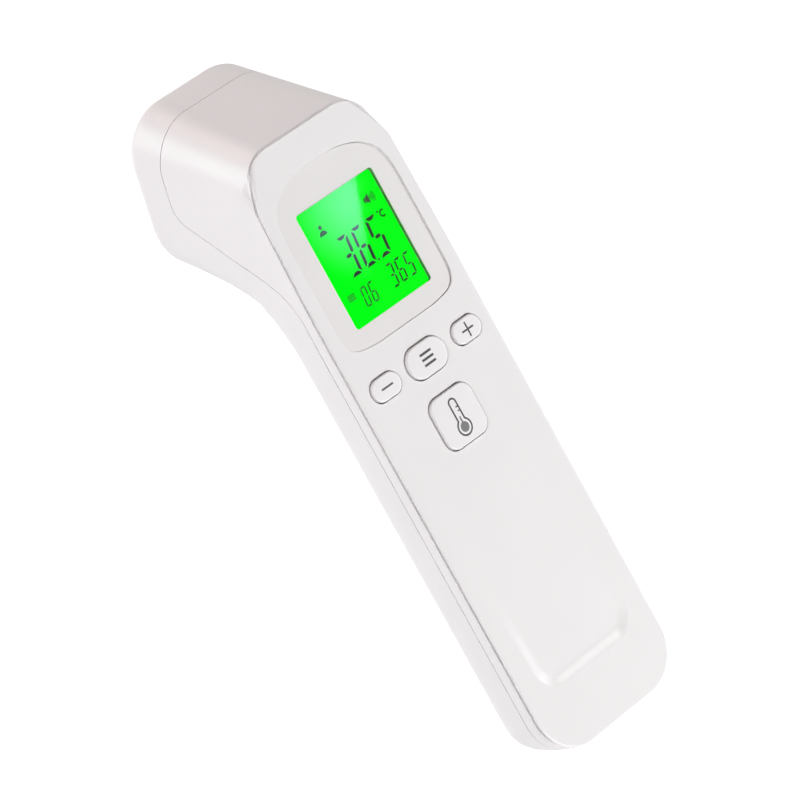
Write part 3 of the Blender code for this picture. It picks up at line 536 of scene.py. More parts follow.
def ease_edges(piece, wanted, size, segments=BEVEL_STEPS):
    """Round the outer edges that a test on (edge, middle in mm) picks out."""
    work = bmesh.new()
    work.from_mesh(piece.data)
    bmesh.ops.remove_doubles(work, verts=work.verts, dist=WELD * MM)
    edges = []
    for edge in work.edges:
        if len(edge.link_faces) != 2 or not edge.is_convex or edge.calc_face_angle() < BEVEL_ANGLE:
            continue
        if wanted(edge, (edge.verts[0].co + edge.verts[1].co) / 2.0 / MM):
            edges.append(edge)
    bmesh.ops.bevel(work, geom=edges, offset=size * MM, segments=segments, profile=0.5,
                    affect="EDGES", clamp_overlap=True)
    work.to_mesh(piece.data)
    work.free()


# Body form: a stack of rounded rectangles that fans from the handle into the head
def unit(angle):
    """Direction in the side view, at an angle above straight back through the handle."""
    return math.sin(angle), -math.cos(angle)


def step_along(start, direction, distance):
    return start[0] + direction[0] * distance, start[1] + direction[1] * distance


def towards(start, end, distance):
    share = distance / math.dist(start, end)
    return mix(start[0], end[0], share), mix(start[1], end[1], share)


def bezier(points, share):
    """Point on a cubic curve in the side view."""
    rest = 1.0 - share
    weights = (rest ** 3, 3.0 * share * rest ** 2, 3.0 * share ** 2 * rest, share ** 3)
    return tuple(sum(weight * point[axis] for weight, point in zip(weights, points)) for axis in (0, 1))


RIM_TOP = step_along(HEAD_CORNER, unit(HEAD_TOP_ANGLE), HEAD_TOP_LENGTH)
RIM_OUT = unit(RIM_ANGLE)
RIM_DOWN = (-math.cos(RIM_ANGLE), -math.sin(RIM_ANGLE))
RIM_BOTTOM = step_along(RIM_TOP, RIM_DOWN, RIM_HEIGHT)
NOSE_CENTRE = step_along(step_along(RIM_TOP, RIM_DOWN, RIM_HEIGHT / 2.0), RIM_OUT, RIM_ROUNDING)
SENSOR_FRAME = Matrix.Translation((0.0, *NOSE_CENTRE)) @ Matrix.Rotation(math.pi + RIM_ANGLE, 4, "X")
ALONG_HANDLE = Matrix.Rotation(math.radians(-90.0), 4, "X")


def handle_stations(inset):
    """Front point, back point, half width, front and back edge radius of each handle section."""
    plan = END_PLAN_RADIUS - inset
    side = END_SIDE_RADIUS - inset
    stations = []
    for step in range(END_STEPS + 1):
        angle = math.radians(90.0 * step / END_STEPS)
        rise = plan * (1.0 - math.cos(angle))
        drawn_in = side - math.sqrt(side ** 2 - (side - min(rise, side)) ** 2)
        half = HALF_WIDTH - plan * (1.0 - math.sin(angle))
        y = HANDLE_END + inset + rise
        stations.append(((y, 0.0), (y, drawn_in - HANDLE_DEPTH), half, FACE_EDGE_RADIUS, BACK_EDGE_RADIUS))
    back = (NECK_START, -HANDLE_DEPTH)
    stations.append(((NECK_START, 0.0), back, HALF_WIDTH, FACE_EDGE_RADIUS, BACK_EDGE_RADIUS))
    return stations


def head_stations():
    """The same from the neck to the nose's rim."""
    neck = ((NECK_START, -HANDLE_DEPTH), (NECK_START + NECK_PULL, -HANDLE_DEPTH),
            step_along(RIM_BOTTOM, unit(UNDERSIDE_ANGLE), -UNDERSIDE_PULL), RIM_BOTTOM)
    stations = []
    for step in range(1, NECK_STEPS + 1):
        share = step / NECK_STEPS
        to_corner = min(share / FAN_START, 1.0)
        to_rim = max(share - FAN_END, 0.0) / (1.0 - FAN_END)
        on_face = (mix(NECK_START, HEAD_CORNER[0], to_corner), mix(0.0, HEAD_CORNER[1], to_corner))
        front = step_along(on_face, unit(HEAD_TOP_ANGLE), HEAD_TOP_LENGTH * to_rim)
        back = bezier(neck, share)
        ease = to_corner ** 2 * (3.0 - 2.0 * to_corner)
        half = mix(mix(HALF_WIDTH, HEAD_HALF_WIDTH, ease), RIM_HALF_WIDTH, to_rim)
        ramp = max(0.0, 1.0 - (HEAD_CORNER[0] - on_face[0]) / HEAD_EDGE_RAMP)
        front_radius = mix(FACE_EDGE_RADIUS, mix(HEAD_EDGE_RADIUS, RIM_TOP_RADIUS, to_rim), ramp)
        back_radius = mix(BACK_EDGE_RADIUS, RIM_BOTTOM_RADIUS, share)
        front = towards(front, back, PIVOT_RADIUS * to_corner)
        stations.append((front, back, half, front_radius, back_radius))
    return stations


def rim_stations(inset):
    """The rounded rim and the flat end of the nose."""
    rounding = RIM_ROUNDING - inset
    stations = []
    for step in range(1, RIM_STEPS + 1):
        angle = math.radians(90.0 * step / RIM_STEPS)
        drawn_in = rounding * (1.0 - math.cos(angle))
        edge = step_along(RIM_TOP, RIM_OUT, rounding * math.sin(angle))
        front = step_along(edge, RIM_DOWN, PIVOT_RADIUS + drawn_in)
        back = step_along(edge, RIM_DOWN, RIM_HEIGHT - drawn_in)
        stations.append((front, back, RIM_HALF_WIDTH - drawn_in,
                         RIM_TOP_RADIUS - drawn_in, RIM_BOTTOM_RADIUS - drawn_in))
    return stations


def section_ring(station, inset):
    """Rounded rectangle between a front and a back point of the side view, set in all round."""
    front, back, half, front_radius, back_radius = station
    front = towards(front, back, inset)
    length = math.dist(front, back) - inset
    half -= inset
    front_radius = max(front_radius - inset, SHARP_RADIUS)
    back_radius = min(back_radius - inset, half - SHARP_RADIUS, length - front_radius - SHARP_RADIUS)
    corners = ((1, front_radius, front_radius, -90.0), (1, length - back_radius, back_radius, 0.0),
               (-1, length - back_radius, back_radius, 90.0), (-1, front_radius, front_radius, 180.0))
    ring = []
    for side, depth, radius, start in corners:
        for x, along in arc((side * (half - radius), depth), radius, start, start + 90.0, CORNER_STEPS):
            ring.append((x, *towards(front, back, along)))
    return ring


def body_form(inset):
    """The whole body as one solid, set in from its outer skin."""
    stations = handle_stations(inset) + head_stations() + rim_stations(inset)
    return loft([section_ring(station, inset) for station in stations])


# Parting line between the two case halves, drawn in the side view
def filleted(points, radii):
    """Polyline whose inner corners are rounded."""
    line = [points[0]]
    for before, corner, after, radius in zip(points, points[1:], points[2:], radii):
        into = (Vector(before) - Vector(corner)).normalized()
        out = (Vector(after) - Vector(corner)).normalized()
        half_angle = into.angle(out) / 2.0
        tangent = radius / math.tan(half_angle)
        centre = Vector(corner) + (into + out).normalized() * (radius / math.sin(half_angle))
        first = Vector(corner) + into * tangent - centre
        last = Vector(corner) + out * tangent - centre
        for step in range(SEAM_STEPS + 1):
            line.append(tuple(centre + first.slerp(last, step / SEAM_STEPS) * radius))
    line.append(points[-1])
    return line


def shifted(line, distance, closed=False):
    """Polyline moved sideways, to the right of its direction."""
    result = []
    for index, point in enumerate(line):
        if closed:
            ahead = Vector(line[(index + 1) % len(line)]) - Vector(line[index - 1])
        else:
            ahead = Vector(line[min(index + 1, len(line) - 1)]) - Vector(line[max(index - 1, 0)])
        ahead.normalize()
        result.append((point[0] + ahead.y * distance, point[1] - ahead.x * distance))
    return result


def rear_region(shift):
    """Everything behind the parting line, as a block across the body."""
    neck = Vector((SEAM_NECK_Y, -SEAM_DEPTH))
    slope = Vector((math.cos(SEAM_SLOPE), -math.sin(SEAM_SLOPE)))
    on_nose = Vector(step_along(RIM_TOP, RIM_OUT, -SEAM_NOSE_SETBACK))
    distance = (on_nose - neck).dot(Vector(RIM_OUT)) / slope.dot(Vector(RIM_OUT))
    nose = tuple(neck + slope * distance)
    start = (HANDLE_END - FAR, -SEAM_DEPTH)
    end = step_along(nose, RIM_DOWN, -FAR)
    line = filleted([start, tuple(neck), nose, end], (SEAM_NECK_RADIUS, SEAM_NOSE_RADIUS))
    outline = shifted(line, shift) + [(2.0 * FAR, -FAR), (start[0], -FAR)]
    return loft([[(x, y, z) for y, z in outline] for x in (-FAR, FAR)])


# Procedural materials
class Nodes:
    """Short way to lay out shader nodes: an input takes a constant or another node's output."""

    def __init__(self, owner):
        owner.use_nodes = True
        self.tree = owner.node_tree

    def feed(self, node, **inputs):
        for name, value in inputs.items():
            socket = node.inputs[name.replace("_", " ").title().replace("Ior", "IOR")]
            if isinstance(value, bpy.types.NodeSocket):
                self.tree.links.new(value, socket)
            else:
                socket.default_value = value

    def add(self, kind, **inputs):
        node = self.tree.nodes.new("ShaderNode" + kind)
        self.feed(node, **inputs)
        return node

    def blend(self, share, first, second):
        """Colour between two, by a share."""
        node = self.add("Mix")
        node.data_type = "RGBA"
        node.inputs[MIX_FIRST].default_value = (*first, 1.0)
        node.inputs[MIX_SECOND].default_value = (*second, 1.0)
        self.feed(node, factor=share)
        return node.outputs[MIX_RESULT]


class Surface(Nodes):
    """Material round one Principled shader, textured in its piece's own coordinates."""

    def __init__(self, name):
        self.material = bpy.data.materials.new(name)
        super().__init__(self.material)
        self.shader = self.tree.nodes["Principled BSDF"]
        self.place = self.add("TexCoord").outputs["Object"]

    def set(self, **inputs):
        self.feed(self.shader, **inputs)

    def noise(self, scale, detail=3.0):
        return self.add("TexNoise", vector=self.place, scale=scale, detail=detail).outputs["Fac"]

    def clouds(self, scale, low=0.0, high=1.0):
        """Noise with its middle stretched over a range."""
        spread = self.add("MapRange", value=self.noise(scale), from_min=NOISE_RANGE[0],
                          from_max=NOISE_RANGE[1], to_min=low, to_max=high)
        return spread.outputs["Result"]

    def bump(self, height, strength):
        node = self.add("Bump", height=height, strength=strength, distance=GRAIN_HEIGHT)
        self.set(normal=node.outputs["Normal"])


def moulded(name, colour, roughness, grain=0.04, cloud=0.012, metallic=0.0):
    """Moulded or machined stock: cloudy colour, uneven gloss and a fine surface grain."""
    surface = Surface(name)
    darker = [channel * (1.0 - cloud) for channel in colour]
    lighter = [min(1.0, channel * (1.0 + cloud)) for channel in colour]
    smooth = roughness * (1.0 - GLOSS_SPREAD)
    rough = roughness * (1.0 + GLOSS_SPREAD)
    surface.set(base_color=surface.blend(surface.clouds(CLOUD_SCALE), darker, lighter),
                roughness=surface.clouds(GLOSS_SCALE, smooth, rough), metallic=metallic)
    surface.bump(surface.noise(GRAIN_SCALE, GRAIN_DETAIL), grain)
    return surface


def brushed(name, colour, roughness):
    """Metal with fine marks drawn along one direction."""
    surface = moulded(name, colour, roughness, cloud=0.06, metallic=1.0)
    stretch = surface.add("Mapping", vector=surface.place, scale=BRUSH_SCALE)
    marks = surface.add("TexNoise", vector=stretch.outputs["Vector"], scale=1.0)
    surface.bump(marks.outputs["Fac"], BRUSH_DEPTH)
    return surface


def glowing(name, dim, bright, strength):
    """Backlit liquid crystal: an even glow with a faint cell texture."""
    surface = moulded(name, [channel * GLOW_SHARE for channel in bright], 0.3)
    surface.set(emission_color=surface.blend(surface.clouds(GLOW_SCALE), dim, bright),
                emission_strength=strength, specular_ior_level=0.0)
    return surface


def clear_pane(name):
    surface = moulded(name, (1.0, 1.0, 1.0), 0.02, grain=0.005, cloud=0.0)
    surface.set(transmission_weight=1.0, ior=PANE_INDEX)
    return surface


def solder_mask(name):
    """Green lacquer over copper tracks, which lie in soft straight bands under it."""
    dark, light, track = TRACK_COLOURS
    surface = moulded(name, light[:3], 0.35)
    tracks = surface.add("TexBrick", vector=surface.place, scale=TRACK_SCALE, mortar_size=TRACK_WIDTH,
                         color1=dark, color2=light, mortar=track)
    surface.set(base_color=tracks.outputs["Color"])
    return surface


def make_finishes():
    """One material for each of the record's slots, and a few for printed or inner details."""
    made = [
        moulded("white_plastic", (0.84, 0.815, 0.82), 0.3),
        moulded("key_plastic", (0.86, 0.84, 0.845), 0.3),
        clear_pane("window_clear"),
        glowing("lcd_green", (0.0, 0.97, 0.006), (0.0, 1.0, 0.008), 1.1),
        moulded("light_plate", (0.9, 0.95, 0.9), 0.4),
        moulded("contact_rubber", (0.55, 0.55, 0.58), 0.8, grain=0.2),
        solder_mask("board_green"),
        moulded("chip_black", (0.02, 0.02, 0.022), 0.5, grain=0.15, cloud=0.2),
        brushed("switch_steel", (0.7, 0.7, 0.7), 0.3),
        moulded("switch_black", (0.03, 0.03, 0.03), 0.5, cloud=0.2),
        brushed("contact_steel", (0.75, 0.74, 0.7), 0.25),
        moulded("cell_wrap", (0.05, 0.055, 0.065), 0.3, grain=0.02, cloud=0.1),
        moulded("lead_red", (0.6, 0.03, 0.03), 0.5, cloud=0.08),
        moulded("lead_black", (0.02, 0.02, 0.02), 0.5, cloud=0.2),
        brushed("brass", (0.8, 0.6, 0.28), 0.25),
        moulded("bezel_black", (0.03, 0.03, 0.032), 0.45, grain=0.15, cloud=0.2),
        moulded("filter_dark", (0.1, 0.09, 0.12), 0.1, grain=0.01, cloud=0.2),
        moulded("ribbon", (0.75, 0.45, 0.1), 0.4, cloud=0.1),
        brushed("screw_steel", (0.55, 0.55, 0.56), 0.35),
        moulded("window_border", (0.8, 0.775, 0.77), 0.3, grain=0.01),
        # Dark purple-grey lining of the display opening: its colour is painted shade, standing in for the
        # shade on the recess's inner wall.
        moulded("window_liner_painted_shade", (0.3, 0.2, 0.27), 0.5, cloud=0.1),
        moulded("display_ink", (0.006, 0.02, 0.008), 0.4, cloud=0.2),
        moulded("display_faint_ink", (0.02, 0.16, 0.03), 0.4, cloud=0.1),
        moulded("key_ink", (0.075, 0.07, 0.075), 0.5, cloud=0.1),
        moulded("key_ink_pale", (0.2, 0.2, 0.2), 0.5, cloud=0.1),
        moulded("cell_band", (0.55, 0.33, 0.12), 0.3, grain=0.02, cloud=0.1),
    ]
    return {surface.material.name.split(".")[0]: surface.material for surface in made}


finishes = make_finishes()


def dress(piece, finish, body, *nodes, slot=None):
    """Lay a finished piece in the world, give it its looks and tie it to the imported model."""
    mesh = piece.data
    mesh.transform(HANDLE_TO_WORLD)
    if not mesh.materials or not mesh.materials[0]:
        mesh.materials.clear()
        mesh.materials.append(finishes[finish])
    mesh.shade_smooth()
    mesh.set_sharp_from_angle(angle=SHARP_ANGLE)
    weights = piece.modifiers.new("Even shading", "WEIGHTED_NORMAL")
    weights.keep_sharp = True
    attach(piece, body)
    if nodes:
        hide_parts(*nodes)


# Front cover
def handle_lip():
    """Plate under the handle's part of the cover, clear of the case walls."""
    half = HALF_WIDTH - LIP_INSET
    reach = HANDLE_END + LIP_INSET
    middle = ((LIP_TOP - reach) / 2.0, (LIP_TOP + reach) / 2.0)
    corner = END_PLAN_RADIUS - LIP_INSET
    heights = (LIP_BACK, LIP_FRONT)
    return loft([rounded_loop((half, middle[0]), corner, z, (0.0, middle[1])) for z in heights])


def key_hole(key):
    """Cutter for a key's hole, flared a little at the face."""
    centre, half, radius = key
    rings = ((CUT_PAST + HOLE_CHAMFER, CUT_PAST), (0.0, -HOLE_CHAMFER), (0.0, LIP_BACK - CUT_PAST))
    return loft([grown_loop(half, radius, grow, z, centre) for grow, z in rings])


def scoop_depth(x, y):
    """Depth of the thumb scoop, from soft walls to a floor that rises towards the keys."""
    low, high = SCOOP_Y
    share = (y - low) / (high - low)
    from_side = mix(*SCOOP_HALF, share) - abs(x)
    from_end = y - low
    inside = min(from_side, from_end)
    if max(from_side, from_end) < SCOOP_CORNER:
        inside = SCOOP_CORNER - math.hypot(SCOOP_CORNER - from_side, SCOOP_CORNER - from_end)
    rise = min(max(inside / SCOOP_WALL, 0.0), 1.0)
    depth = SCOOP_DEPTH * max(1.0 - share, 0.0) ** SCOOP_FADE * rise ** 2 * (3.0 - 2.0 * rise)
    return depth if depth > 0.0 else -SCOOP_LIFT


def scoop():
    """Cutter for the thumb scoop: a fine sheet, row by row, under a flat lid."""
    columns = int(2.0 * (SCOOP_HALF[1] + CUT_PAST) / SCOOP_STEP)
    rows = int((SCOOP_Y[1] - SCOOP_Y[0] + 2.0 * CUT_PAST) / SCOOP_STEP)
    across = [(column - columns / 2.0) * SCOOP_STEP for column in range(columns + 1)]
    rings = []
    for row in range(rows + 1):
        y = SCOOP_Y[0] - CUT_PAST + row * SCOOP_STEP
        sheet = [(x, y, -scoop_depth(x, y)) for x in across]
        rings.append(sheet + [(across[-1], y, CUT_PAST), (across[0], y, CUT_PAST)])
    return loft(rings)


def on_height(height):
    """Edge test: both ends at one height."""
    return lambda edge, middle: all(abs(vertex.co.z / MM - height) < LEVEL for vertex in edge.verts)


def layer(z):
    """Slice across the whole body between two heights."""
    return box((-FAR, FAR), (-2.0 * FAR, FAR), z)


def drawn_in_form(inset):
    """The body's form, its outline drawn in towards the middle of the face."""
    middle = (HEAD_CORNER[0] + HANDLE_END) / 2.0
    reach = HEAD_CORNER[0] - middle
    place = Matrix.Translation((0.0, middle, 0.0))
    shrink = Matrix.Diagonal((1.0 - inset / HALF_WIDTH, 1.0 - inset / reach, 1.0, 1.0))
    return moved(body_form(0.0), place @ shrink @ place.inverted())


def rim_loop(z):
    """Window outline at the face, which is drawn out a little along its left side."""
    loop = []
    for x, y, _ in window_loop(0.0, z):
        leftness = max(0.0, -x / WINDOW_HALF_WIDTH) ** WINDOW_RIM_POWER
        loop.append((x - WINDOW_RIM * leftness, y, z))
    return loop


def window_pocket():
    """Cutter for the window's recess, with a shallow sloping rim at its left."""
    rings = [window_loop(0.0, z) for z in (WINDOW_POCKET, -WINDOW_RIM_DROP)]
    return loft(rings + [rim_loop(z) for z in (0.0, CUT_PAST)])


def on_crease(edge, middle):
    """Edge test: on the face, near its bend into the head's top."""
    return middle.z > -LEVEL and middle.y > HEAD_CORNER[0] - CREASE_REACH


def make_front_cover():
    cover = solid("front_cover_skin", body_form(0.0))
    combine(cover, "INTERSECT", layer((-2.0 * COVER_THICKNESS, 0.0)))
    ease_edges(cover, on_crease, CREASE_EDGE, CREASE_STEPS)
    combine(cover, "DIFFERENCE", layer((-FAR, -COVER_EDGE)))
    combine(cover, "UNION", common(drawn_in_form(COVER_STEP), layer((-COVER_THICKNESS, -COVER_EDGE / 2.0))))
    pad = loft([window_loop(WINDOW_LEDGE, z) for z in (LIP_BACK, LIP_FRONT)])
    combine(cover, "UNION", handle_lip(), pad)
    for place in BOARD_SCREW_PLACES:
        combine(cover, "UNION", post(place, BOSS_RADIUS, (BOSS_BACK, BOSS_FRONT)))
    combine(cover, "UNION", post(CASE_SCREW_PLACE, CASE_BOSS[0], (CASE_BOSS[1], BOSS_FRONT)))
    opening = (LCD_HALF[0] + LCD_CLEARANCE, LCD_HALF[1] + LCD_CLEARANCE)
    display_hole = block(opening, LCD_CENTRE, (LIP_BACK - CUT_PAST, CUT_PAST))
    combine(cover, "DIFFERENCE", window_pocket(), display_hole)
    combine(cover, "DIFFERENCE", scoop(), *[key_hole(key) for key in KEYS.values()])
    for place in BOARD_SCREW_PLACES:
        combine(cover, "DIFFERENCE", post(place, BOSS_HOLE, (BOSS_BACK - CUT_PAST, BOSS_HOLE_END)))
    combine(cover, "DIFFERENCE", post(CASE_SCREW_PLACE, CASE_POST_HOLE, (CASE_POST[1], CASE_HOLE_END)))
    dress(cover, "white_plastic", "case", "front_cover")


# Case halves and door
def hollow_body(name):
    body = solid(name, body_form(0.0))
    combine(body, "DIFFERENCE", body_form(WALL))
    return body


def make_middle_housing():
    housing = hollow_body("middle_housing_skin")
    rebate = common(drawn_in_form(COVER_STEP - GROOVE_GAP), layer((-COVER_THICKNESS - GAP, FAR)))
    above = layer((-COVER_EDGE - GROOVE_WIDTH, FAR))
    combine(housing, "DIFFERENCE", rebate, above, rear_region(-SEAM_GAP / 2.0))
    ease_edges(housing, on_height(-COVER_EDGE - GROOVE_WIDTH), GROOVE_EDGE)
    dress(housing, "white_plastic", "case", "middle_housing")


def door_region(grow):
    x = DOOR_HALF_WIDTH + grow
    return box((-x, x), (-2.0 * FAR, DOOR_TOP + grow), (-FAR, DOOR_FRONT + grow))


def make_rear_housing():
    housing = hollow_body("rear_housing_skin")
    combine(housing, "INTERSECT", rear_region(SEAM_GAP / 2.0))
    combine(housing, "DIFFERENCE", door_region(GAP))
    combine(housing, "DIFFERENCE", moved(post((0.0, 0.0), SENSOR_HOLE, (-2.0 * WALL, WALL)), SENSOR_FRAME))
    outer = BAY_HALF_WIDTH + BAY_WALL
    ends = (BAY_Y[0] - BAY_WALL, BAY_Y[1] + BAY_WALL)
    into_back = WALL / 2.0 - HANDLE_DEPTH
    combine(housing, "UNION",
            box((-outer, outer), ends, (BAY_WALL_BACK, BAY_FLOOR[1])),
            box((-BAY_WEB[0], BAY_WEB[0]), (BAY_WEB[1], BAY_Y[1]), BAY_FLOOR),
            box((-outer, outer), (BAY_Y[1], ends[1]), (into_back, BAY_FLOOR[1])),
            post(CASE_SCREW_PLACE, CASE_POST_FOOT[0], (into_back, CASE_POST_FOOT[1])),
            post(CASE_SCREW_PLACE, CASE_POST[0], (into_back, CASE_POST[1])))
    combine(housing, "DIFFERENCE",
            box((-BAY_HALF_WIDTH, BAY_HALF_WIDTH), BAY_Y, (BAY_WALL_BACK - CUT_PAST, BAY_FLOOR[0])),
            post(CASE_SCREW_PLACE, CASE_POST_HOLE, (-FAR, 0.0)),
            post(CASE_SCREW_PLACE, COUNTERBORE[0], (-FAR, COUNTERBORE[1])))
    drill = post((0.0, 0.0), LEAD_HOLE, (0.0, BAY_WALL + 2.0 * CUT_PAST))
    for side in (-1.0, 1.0):
        through = Matrix.Translation((side * LEAD_X, BAY_Y[1] - CUT_PAST, LEAD_Z)) @ ALONG_HANDLE
        combine(housing, "DIFFERENCE", moved(drill, through))
    dress(housing, "white_plastic", "case", "rear_housing")


def make_battery_door():
    door = hollow_body("battery_door_skin")
    combine(door, "INTERSECT", door_region(0.0))
    for index in range(GRIP_COUNT):
        centre = (0.0, GRIP_START - GRIP_PITCH * index)
        groove = [rounded_loop(GRIP_HALF, GRIP_HALF[1] - GRIP_FLAT, z, centre)
                  for z in (-FAR, GRIP_DEPTH - HANDLE_DEPTH)]
        combine(door, "DIFFERENCE", loft(groove))
    dress(door, "white_plastic", "door", "battery_door")


# Window and display
def opening_loop(grow, z):
    """The display's opening, with as many points as the window outline."""
    loop = []
    half = (OPENING_HALF[0] + grow, OPENING_HALF[1] + grow)
    radius = OPENING_CORNER + grow
    for x, y, _ in window_loop(0.0, z):
        ray = Vector((x, y - WINDOW_CENTRE_Y))
        x, y = Vector(OPENING_CENTRE) + ray_to_rounded(ray, half, radius)
        loop.append((x, y + LINER_DRAFT * (WINDOW_TOP - z) / WINDOW_THICKNESS, z))
    return loop


def ray_to_rounded(ray, half, radius):
    """Where a ray from the middle leaves a rounded rectangle."""
    low, high = 0.0, 2.0
    for _ in range(HALVINGS):
        share = (low + high) / 2.0
        over_x = max(abs(ray.x) * share - (half[0] - radius), 0.0)
        over_y = max(abs(ray.y) * share - (half[1] - radius), 0.0)
        if math.hypot(over_x, over_y) < radius:
            low = share
        else:
            high = share
    return ray * low


def plate_loop(inset, z):
    """Raised part of the window plate, which stops short of the recess at its right."""
    share = 1.0 - WINDOW_STEP_WIDTH / (2.0 * WINDOW_HALF_WIDTH)
    outline = window_loop(-WINDOW_GAP - inset, z)
    return [(x * share - WINDOW_STEP_WIDTH / 2.0, y, z) for x, y, _ in outline]


def make_window():
    back = WINDOW_TOP - WINDOW_THICKNESS
    step = WINDOW_TOP - WINDOW_STEP
    plate = ((0.0, step), (0.0, WINDOW_TOP - WINDOW_EDGE), (WINDOW_EDGE, WINDOW_TOP))
    outer = [window_loop(-WINDOW_GAP, z) for z in (back, step)]
    outer += [plate_loop(inset, z) for inset, z in plate]
    lip, lip_depth = BORDER_LIP
    inner = ((LINER_WALL, back), (LINER_WALL, WINDOW_TOP - lip_depth), (lip, WINDOW_TOP))
    border = solid("window_border", band(outer, [opening_loop(grow, z) for grow, z in inner]))
    dress(border, "window_border", "case", "window_lens", slot="window_clear")
    # Thin liner round the display opening, dark with painted shade of the recess's inner wall.
    liner_z = (back, WINDOW_TOP - LINER_DROP)
    walls = [[opening_loop(grow, z) for z in liner_z] for grow in (LINER_WALL - SNUG, 0.0)]
    liner = solid("window_liner_painted_shade", band(*walls))
    dress(liner, "window_liner_painted_shade", "case", "window_lens", slot="window_clear")
    pane_z = (PANE_TOP - PANE_THICKNESS, PANE_TOP)
    pane = solid("window_pane", loft([opening_loop(-SNUG, z) for z in pane_z]))
    dress(pane, "window_clear", "case", "window_lens")


def digit_segment(letter, spacing, height, stroke):
    """One bar of a seven-segment digit about its middle: lettered clockwise from the top."""
    wide = spacing / 2.0
    tall = height / 2.0
    half = stroke / 2.0
    cut = SEGMENT_CUT * stroke
    if letter == "g":
        end = wide - cut - CROSSBAR_CUT * half
        return [(-end, 0.0), (half - end, -half), (end - half, -half),
                (end, 0.0), (end - half, half), (half - end, half)]
    if letter in "ad":
        end = wide - 2.0 * cut
        bar = [(-end - half, tall + half), (half - end, tall - half),
               (end - half, tall - half), (end + half, tall + half)]
        return bar if letter == "a" else [(x, -y) for x, y in bar]
    end = tall - 2.0 * cut
    bar = [(wide + half, end + half), (wide - half, end - half),
           (wide - half, half + cut), (wide, cut), (wide + half, half + cut)]
    side = 1.0 if letter in "bc" else -1.0
    upper = 1.0 if letter in "bf" else -1.0
    return [(side * x, upper * y) for x, y in bar]


def dot(centre, radius):
    return arc(centre, radius, 0.0, 360.0, DOT_STEPS)[:-1]


def straight(start, end):
    shares = [step / LINE_STEPS for step in range(LINE_STEPS + 1)]
    return [(mix(start[0], end[0], share), mix(start[1], end[1], share)) for share in shares]


def drawn(path, stroke):
    """Outline of a line of even width drawn along a path."""
    return shifted(path, stroke / 2.0) + shifted(path, -stroke / 2.0)[::-1]


def printed(surface, outline, hole=None):
    """Print inside an outline, from just under a surface to just over it."""
    stacks = [[[(x, y, surface(x, y) + lift) for x, y in loop] for lift in (-PRINT_DEPTH, PRINT_RELIEF)]
              for loop in (outline, hole) if loop]
    return band(*stacks) if hole else loft(*stacks)


def reading_outlines():
    """Every lit bar of the readings, and the point and the degree sign of the large one."""
    outlines = []
    for text, middle, spacing, height, stroke, pitch in READINGS:
        for index, digit in enumerate(text):
            x = middle[0] + pitch * index
            for letter in SEGMENTS[digit]:
                bar = digit_segment(letter, spacing, height, stroke)
                outlines.append([(x + px + DIGIT_SLANT * py, middle[1] + py) for px, py in bar])
    unit_sign = drawn(arc(*UNIT_ARC, UNIT_STEPS), UNIT_STROKE)
    return outlines + [dot(*DECIMAL_POINT), dot(*DEGREE_DOT), unit_sign]


def speaker_outlines():
    """Sound sign: a box with a horn, and three waves."""
    x, y = SPEAKER_PLACE
    length, height = SPEAKER_BOX
    (throat, low), (mouth, high) = SPEAKER_HORN
    horn = [(x + throat, y - low), (x + mouth, y - high), (x + mouth, y + high), (x + throat, y + low)]
    waves = [arc((x + WAVE_START, y), radius, -WAVE_ANGLE, WAVE_ANGLE, WAVE_STEPS) for radius in WAVE_RADII]
    return [drawn([(x, y), (x + length, y)], height), horn, *[drawn(wave, WAVE_STROKE) for wave in waves]]


def person_outlines():
    """Head-and-shoulders sign."""
    x, y = PERSON_PLACE
    rise, head = PERSON_HEAD
    drop, shoulders = PERSON_SHOULDERS
    return [dot((x, y + rise), head), arc((x, y - drop), shoulders, 0.0, 180.0, SIGN_STEPS)]


def memory_outlines():
    """Three stacked lines for the stored readings."""
    return [drawn([(x, y) for x in MEMORY_X], MEMORY_STROKE) for y in MEMORY_Y]


def make_ink(name, outlines, finish):
    shape = joined([printed(lambda x, y: LCD_FACE, outline) for outline in outlines])
    ink = solid(name, moved(shape, Matrix.Translation((*DISPLAY_MIDDLE, 0.0))))
    dress(ink, finish, "case", slot="lcd_green")


def make_display():
    edges = ((LCD_EDGE, LCD_BACK), (0.0, LCD_BACK + LCD_EDGE),
             (0.0, LCD_FACE - LCD_EDGE), (LCD_EDGE, LCD_FACE))
    rings = [rounded_loop((LCD_HALF[0] - inset, LCD_HALF[1] - inset), LCD_CORNER, z, LCD_CENTRE)
             for inset, z in edges]
    dress(solid("lcd_panel", loft(rings)), "lcd_green", "case", "lcd_glass")
    make_ink("display_reading", reading_outlines(), "display_ink")
    make_ink("display_speaker", speaker_outlines(), "display_ink")
    make_ink("display_person", person_outlines(), "display_faint_ink")
    make_ink("display_memory", memory_outlines(), "display_faint_ink")


